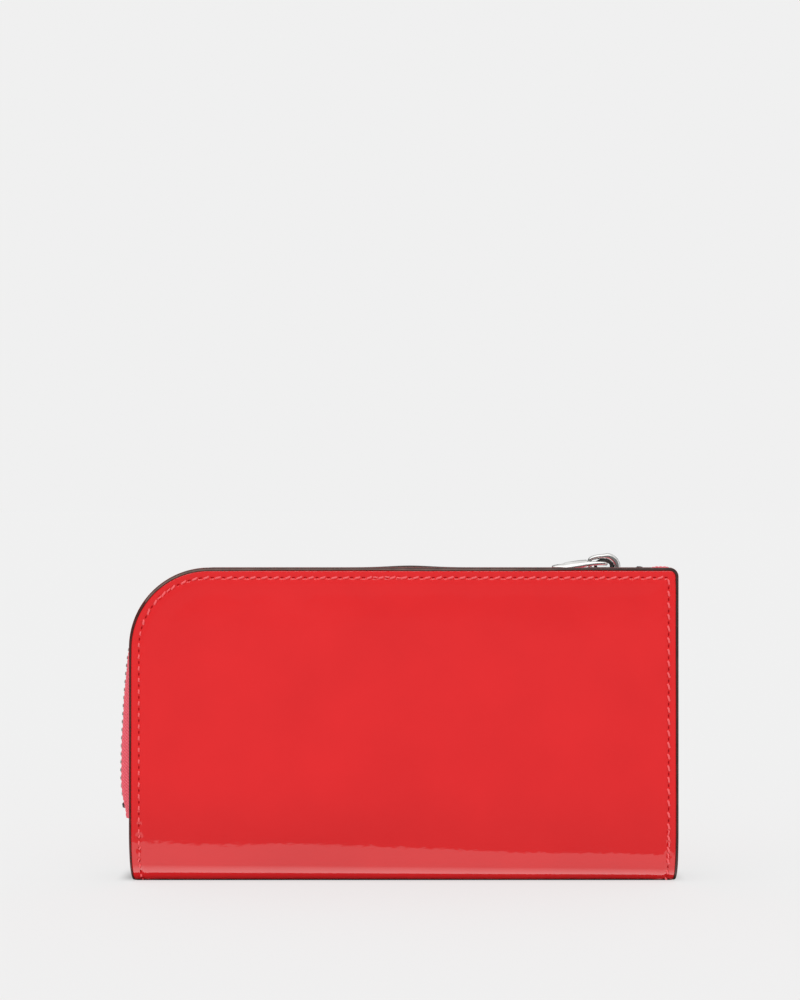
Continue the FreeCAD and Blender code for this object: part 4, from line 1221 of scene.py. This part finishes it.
def soft_box(name, low, high, round_by, material):
    """A flat upright pouch wall or seam with rounded rims and a shallow groove round both its faces."""
    middle_y, half_y = (low[1] + high[1]) / 2, (high[1] - low[1]) / 2
    corners = [(low[0], low[2]), (high[0], low[2]), (high[0], high[2]), (low[0], high[2])]
    outline = dense(rounded(corners, [2.0, 2.0, 1.2, 1.2]), 1.5)
    steps = [(0.0, 0.35), (0.25, 0.8), (0.6, 0.97), (1.2, 1.0), (2.6, 0.93), (3.2, 1.0), (6.0, 1.0)]
    levels = [(inset, -share) for inset, share in steps[::-1]] + steps
    rings = [upright(inset_ring(outline, inset * round_by), middle_y + share * half_y)
             for inset, share in levels]
    points, faces = loft(rings)
    return make_mesh(name, points, faces, material, points[:, [0, 2]])


def coin_tape(name, side, material):
    """One tape of the coin zip, arched a little towards its sewn edge."""
    low, high = limits(f"coin_zip_{name}_tape")
    stations = np.arange(low[0], high[0] + 0.01, 1.0)
    share = np.linspace(0, 1, 7)
    inner_y, outer_y = (high[1], low[1]) if side == BACK else (low[1], high[1])
    surface = np.zeros((len(stations), len(share), 3))
    for row, x in enumerate(stations):
        z = high[2] - 0.02 - 0.14 * share ** 2 + 0.03 * np.sin(x / 1.9) * share
        surface[row] = np.stack([np.full(7, x), inner_y + (outer_y - inner_y) * share, z], axis=1)
    up = np.zeros_like(surface)
    up[..., 2] = 1.0
    uv = np.stack([surface[..., 0], np.abs(surface[..., 1])], axis=2)
    return solid_sheet(f"coin_{name}_tape", surface, up, 0.34, material, uv, flip=side == FRONT)


COIL_PITCH = 1.25


def coin_coil(name, side, material):
    """One side's nylon coil of the coin zip, half a pitch from its partner's."""
    low, high = limits(f"coin_zip_{name}_coil")
    middle = (low + high) / 2
    turns = (high[0] - low[0]) / COIL_PITCH
    angle = np.arange(0, turns * 2 * math.pi, 2 * math.pi / 10)
    start = low[0] + angle / (2 * math.pi) * COIL_PITCH
    path = np.stack([start + (0.3 if side == FRONT else 0), middle[1] + 0.36 * side * -np.cos(angle),
                     middle[2] + 0.36 * np.sin(angle)], axis=1)
    outward = path - middle
    outward[:, 0] = 0
    outward /= np.linalg.norm(outward, axis=1)[:, None]
    aside = np.cross(directions(path), outward)
    coil = Builder()
    coil.add(*loft([place + oval(6, 0.18, 0.18) @ np.stack(pair)
                    for place, *pair in zip(path, outward, aside)]))
    return coil.make(f"coin_{name}_coil", material)


def coin_clamp(name, material):
    """The metal clamp across both tapes at one end of the coin zip."""
    low, high = limits(f"coin_zip_{name}_stop")
    middle, half = (low + high) / 2, (high - low) / 2
    rings = []
    for share in (-1, -0.85, -0.5, 0.5, 0.85, 1):
        size = 1 - 0.35 * abs(share) ** 6
        rings.append(crosswise(oval(14, half[1] * size, half[2] * size, 3.5), middle[0] + share * 0.8,
                               middle[1], middle[2]))
    clamp = Builder()
    clamp.add(*loft(rings))
    return clamp.make(f"coin_{name}_clamp", material, sharp=40)


def coin_pocket(leather, cloth, tape, nylon, metal, thread):
    """The zipped divider: two stitched leather walls, their cloth seam, and the coil zip on top."""
    made = []
    threads = Builder()
    for name, side in SIDES.items():
        node = f"coin_pocket_{name}_wall"
        low, high = limits(node)
        made.append((soft_box(f"coin_{name}_wall", low, high, 1.0, leather), node, "inner_leather"))
        face = low[1] if side == BACK else high[1]
        left, right, bottom, top = low[0] + 1.8, high[0] - 1.8, low[2] + 1.8, high[2] - 1.8
        run = [(left, face, top), (left, face, bottom), (right, face, bottom), (right, face, top)]
        for start, end in zip(run, run[1:] + run[:1]):
            thread_row(threads, start, end, (0, side, 0), 2.8)
    for name in ("bottom", "left", "right"):
        node = f"coin_pocket_{name}_seam"
        made.append((soft_box(f"coin_{name}_piping", *limits(node), 0.4, cloth), node, "lining_fabric"))
    for name, side in SIDES.items():
        made.append((coin_tape(name, side, tape), f"coin_zip_{name}_tape", "coin_zip_tape"))
        made.append((coin_coil(name, side, nylon), f"coin_zip_{name}_coil", "coin_zip_nylon"))
    for name in ("left", "right"):
        made.append((coin_clamp(name, metal), f"coin_zip_{name}_stop", "zip_metal"))
    for piece, node, slot_name in made:
        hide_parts(node)
        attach(piece, "divider")
    row = threads.make("coin_pocket_stitches", thread)
    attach(row, "divider")


def coin_pull_tab(metal):
    """The coin slider's drop-shaped pull with its window."""
    low, high = limits("coin_pull")
    half = (high[1] - low[1]) / 2
    tip = high[0]
    outer = dense(mirrored([(low[0], -half * 0.75), (tip - 4, -half), (tip, -half * 0.8)],
                           [1.4, 2.0, 1.2]), 0.35)
    middle = np.array([tip - 2.15, 0.0])
    angle = np.unwrap(np.arctan2(outer[:, 1], outer[:, 0] - middle[0]))
    window = middle + np.stack([1.25 * np.cos(angle), 0.85 * np.sin(angle)], axis=1)
    pull = Builder()
    pierced_plate(pull, [(window, -0.12, 1.0), (window, 0, 0.7), (window, 0, 0.3), (window, -0.12, 0.0),
                         (outer, 0.22, 0.0), (outer, 0.05, 0.15), (outer, 0, 0.4), (outer, 0, 0.6),
                         (outer, 0.05, 0.85), (outer, 0.22, 1.0), (outer, 0.5, 1.0), (outer, 0.62, 0.86)],
                  lambda ring, share: low[2] + share * (high[2] - low[2]))
    return pull.make("coin_pull_tab", metal, sharp=40)


def coin_slider(metal):
    """The small slider of the coin pocket, its bridge and its drop-shaped pull."""
    low, high = limits("coin_slider_body")
    length, bottom, top = high[0] - low[0], low[2], high[2]
    middle = 0.5 * (low[0] + high[0])
    body = Builder()
    level_plate(body, slider_outline(length, high[1] - low[1]), middle,
                [(top - 0.6, 0.2), (top - 0.52, 0.04), (top - 0.3, 0.0), (top - 0.1, 0.08), (top, 0.3),
                 (top + 0.02, 0.7)])
    level_plate(body, slider_outline(length - 1, 2.2), middle,
                [(bottom, 0.2), (bottom + 0.1, 0.03), (bottom + 0.5, 0.0), (bottom + 0.6, 0.15)])
    plates = body.make("coin_slider_plates", metal, sharp=35)

    (left, _, base), (right, _, crest) = limits("coin_slider_crown")
    shoulder = base + 0.5 * (crest - base)
    path = curve_through([(left + 0.3, base - 0.1), (left + 0.35, shoulder), (left + 1.2, crest - 0.42),
                          (middle, crest - 0.3), (right - 1.2, crest - 0.42), (right - 0.35, shoulder),
                          (right - 0.3, base - 0.1)], steps=6)
    bridge = Builder()
    bridge.add(*swept_bar(path, 0.58, 0.28, 10, 2.6))
    arch = bridge.make("coin_slider_bridge", metal, sharp=50)
    tab = coin_pull_tab(metal)
    for piece, node in ((plates, "coin_slider_body"), (arch, "coin_slider_crown"), (tab, "coin_pull")):
        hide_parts(node)
        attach(piece, "coin_slider")


# Putting the wallet together -------------------------------------------------------------------

red_leather = patent_leather()
dark_paint = edge_paint_material()
red_thread = thread_material()
zip_weave = tape_material("woven_zip_tape", (0.78, 0.052, 0.080), (1.0, 0.165, 0.215), 0.55)
coin_weave = tape_material("woven_coin_tape", (0.28, 0.012, 0.017), (0.5, 0.035, 0.045), 0.7)
tooth_metal = metal_material("plated_zip_metal", (0.84, 0.77, 0.71), 0.34, 1)
slider_metal = metal_material("polished_slider_metal", (0.90, 0.89, 0.87), 0.10, 3)
dark_steel = metal_material("dark_spring_steel", (0.16, 0.15, 0.15), 0.3, 2)
inner_leather = grained_leather()
lining_cloth = lining_material()

shell = leather_shell(red_leather)
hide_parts("back_panel", "front_panel", "fold_base", "back_fold_round", "front_fold_round")
paint = edge_bead(dark_paint)
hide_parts("back_edge_bead", "front_edge_bead")
seams, holes = sew(red_thread, needle_hole_shade_material())
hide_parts("back_stitching", "front_stitching")
cloth = lining(lining_cloth)
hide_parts("back_lining", "front_lining")
for piece in (shell, paint, seams, holes, cloth):
    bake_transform(piece)

for name, side in SIDES.items():
    tape = zip_tape(f"{name}_tape", side, zip_weave)
    teeth = zip_teeth(f"{name}_teeth", side, tooth_metal)
    stops = zip_stops(f"{name}_stops", side, dark_steel)
    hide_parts(f"{name}_zip_tape")
    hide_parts(f"{name}_zip_teeth")
    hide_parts(f"{name}_top_stop", f"{name}_bottom_stop")
    for piece, slot_name in ((tape, "zip_tape"), (teeth, "zip_metal"), (stops, "zip_metal")):
        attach(piece, name)
    pockets(name, side, inner_leather, red_thread)

for name, sign in (("left_gusset", -1), ("right_gusset", 1)):
    fold, cut = pleat(name + "_cloth", sign, name, lining_cloth)
    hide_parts(name)
    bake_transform(fold)

low, high = limits("divider_base_strip")
strip = soft_box("divider_strip_cloth", low, high, 0.3, lining_cloth)
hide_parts("divider_base_strip")
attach(strip, "divider")

coin_pocket(inner_leather, lining_cloth, coin_weave, nylon_material(), tooth_metal, red_thread)
coin_slider(slider_metal)

plates, bridge, lock = zip_slider(slider_metal, dark_steel)
pull = zip_pull(slider_metal)
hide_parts("slider_body")
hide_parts("slider_crown")
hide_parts("pull_tab")
for piece, body in ((plates, "slider"), (bridge, "slider"), (lock, "slider"), (pull, "pull")):
    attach(piece, body)


# Stage, light and camera -----------------------------------------------------------------------

WALL_HEIGHT = 1100.0
WALL_GAP = 24.0
STRIP_END = 84.0

# The floor reflects FLOOR_TONE of the light that falls on it from the sky and the soft sun, and glows by
# what it then lacks of the sky's own brightness, so that no horizon shows.
SKY = 0.871
FLOOR_LIGHT = 1.026
FLOOR_TONE = 0.2
FLOOR_GLOW = SKY - FLOOR_LIGHT * FLOOR_TONE


def stage_material(name, colour, roughness, glow=0.0):
    """A plain matt surface for the floor and the cards."""
    net = Nodes(name)
    grain = net.noise(net.coordinates(), 90, 2)
    net.link(net.span(grain, roughness, min(1.0, roughness + 0.02)), "Roughness")
    net.set(Base_Color=(*colour, 1), Specular_IOR_Level=0.0)
    net.set(Emission_Color=(1, 1, 1, 1), Emission_Strength=glow)
    return net.material


def glowing_floor_tone(net, glow):
    """Finishes a material that reflects light as the floor does and glows as its nodes say."""
    net.link(glow, "Emission Strength")
    net.link(net.span(net.noise(net.coordinates(), 90, 2), 0.95, 0.97), "Roughness")
    net.set(Base_Color=(FLOOR_TONE, FLOOR_TONE, FLOOR_TONE, 1), Specular_IOR_Level=0.0)
    net.set(Emission_Color=(1, 1, 1, 1))
    return net.material


def graded_glow(name, far, near):
    """A card that glows more and more from its far edge to its near one."""
    net = Nodes(name)
    return glowing_floor_tone(net, net.span(net.axis(net.coordinates("UV"), "Y"), far, near))


def floor_plane(material):
    """The pale floor, wide enough to reach the horizon, a hair below the wallet's underside."""
    steps = np.array([-60000.0, -8000.0, -1500.0, -300.0, 0.0, 300.0, 1500.0, 8000.0, 60000.0])
    points = [(x, y, -0.03) for y in steps for x in steps]
    return make_mesh("floor", points, grid_faces(len(steps), len(steps)), material)


def only_in_reflections(card):
    """Keeps a card out of everything but mirror reflections."""
    card.visible_camera = False
    card.visible_diffuse = False
    card.visible_shadow = False
    card.visible_transmission = False
    return card


def dark_floor_card(material):
    """A dark grey card flat on the floor round the wallet.

    Its window is cut askew, so the pale floor inside it mirrors as a slanting band low on the leather.
    """
    window = [(-130.0, -95.0), (130.0, -51.0), (130.0, 80.0), (-130.0, 80.0)]
    rim = [(-1500.0, -1500.0), (1500.0, -1500.0), (1500.0, 1500.0), (-1500.0, 1500.0)]
    points = [(x, y, 0.4) for x, y in window + rim]
    faces = [(number, (number + 1) % 4, 4 + (number + 1) % 4, 4 + number)[::-1] for number in range(4)]
    return only_in_reflections(make_mesh("dark_floor_card", points, faces, material))


def floor_strip(name, left_reach, right_reach, material):
    """A narrow card at the foot of the back panel, mirrored only low on the fold.

    The reaches are its far and near y at the wallet's left and right ends.
    """
    share = np.linspace(0, 1, 12)
    x = STRIP_END * (2 * share - 1)
    rows = [left * (1 - share) + right * share for left, right in zip(left_reach, right_reach)]
    points = [(place, y, 0.5) for row in rows for place, y in zip(x, row)]
    across = np.array([(place, edge) for edge in (0.0, 1.0) for place in share])
    return only_in_reflections(make_mesh(name, points, grid_faces(2, len(x)), material, across))


def contact_shadow(material):
    """A dark strip on the floor right under the fold, which deepens the shadow where the wallet stands."""
    outline = rounded([(-81.6, -6.7), (81.6, -6.6), (81.6, 4.0), (-81.6, 4.0)], [2.0] * 4)
    points = np.column_stack([outline, np.full(len(outline), 0.02)])
    return make_mesh("contact_shadow", points, [list(range(len(points)))], material)


def end_shadow(name, side, reach, depth):
    """The soft shadow on the floor beside one end of the wallet: darkest against it, gone at its reach."""
    net = Nodes(name)
    flat = net.coordinates("UV")
    along = net.axis(flat, "Y")
    ends = net.math("MULTIPLY", net.fade(along, 0.0, 0.3), net.fade(along, 1.0, 0.35))
    shade = net.math("MULTIPLY", net.fade(net.axis(flat, "X"), 1.0, 0.0), ends)
    material = glowing_floor_tone(net, net.span(shade, FLOOR_GLOW, FLOOR_GLOW - depth))
    out, back = np.linspace(0, 1, 14), np.linspace(0, 1, 20)
    uv = np.array([(along, across) for across in back for along in out])
    points = np.column_stack([side * (HALF_WIDTH - 1.5 + reach * uv[:, 0]), -10 + 30 * uv[:, 1],
                              np.full(len(uv), 0.01)])
    return make_mesh(name, points, grid_faces(len(back), len(out)), material, uv)


def dark_wall_card(material):
    """A dark grey wall standing round the set, open above and at the right."""
    angles = np.radians(np.linspace(WALL_GAP, 360 - WALL_GAP, 48))
    points = [(1450 * math.cos(angle), 1450 * math.sin(angle), height)
              for height in (0.0, WALL_HEIGHT) for angle in angles]
    faces = grid_faces(2, len(angles))[:, ::-1]
    return only_in_reflections(make_mesh("dark_wall_card", points, faces, material))


def soft_sun(strength, elevation, azimuth, spread):
    """An even soft light over the whole floor from one direction; angles in degrees."""
    light = bpy.data.lights.new("soft_light", "SUN")
    light.energy = strength
    light.angle = math.radians(spread)
    lamp = bpy.data.objects.new("soft_light", light)
    lamp.rotation_euler = (math.radians(90 - elevation), 0, math.radians(azimuth))
    bpy.context.scene.collection.objects.link(lamp)
    return lamp


shadow_grey = stage_material("contact_shadow", (0.05, 0.03, 0.028), 0.95)
dark_grey = stage_material("dark_grey_card", (0.23, 0.23, 0.23), 0.95)
glowing_white = graded_glow("glowing_white_card", 0.7, 1.95)
floor_plane(stage_material("lit_floor", (FLOOR_TONE,) * 3, 0.95, glow=FLOOR_GLOW))
end_shadow("left_end_shadow", -1, 6.5, 0.42)
end_shadow("right_end_shadow", 1, 5.0, 0.2)
dark_floor_card(dark_grey)
dark_wall_card(dark_grey)
contact_shadow(shadow_grey)
floor_strip("bright_floor_strip", (-20.5, -11.2), (-14.0, -9.6), glowing_white)
floor_strip("shaded_floor_strip", (-11.2, -6.0), (-9.6, -6.0), shadow_grey)

world = bpy.data.worlds.new("studio")
world.use_nodes = True
world.node_tree.nodes["Background"].inputs["Color"].default_value = (1, 1, 1, 1)
world.node_tree.nodes["Background"].inputs["Strength"].default_value = SKY
bpy.context.scene.world = world
bpy.context.scene.view_settings.view_transform = "Standard"

soft_sun(0.62, 58, -18, 70)

camera_data = bpy.data.cameras.new("camera")
camera_data.lens = 78
camera_data.sensor_fit = "VERTICAL"
camera_data.sensor_height = 36
camera_data.clip_start = 0.01
camera_data.clip_end = 20
camera = bpy.data.objects.new("camera", camera_data)
camera.location = (-1.125 * MM, -661 * MM, 114.8 * MM)
camera.rotation_euler = (math.radians(90), 0, 0)
bpy.context.scene.collection.objects.link(camera)
bpy.context.scene.camera = camera
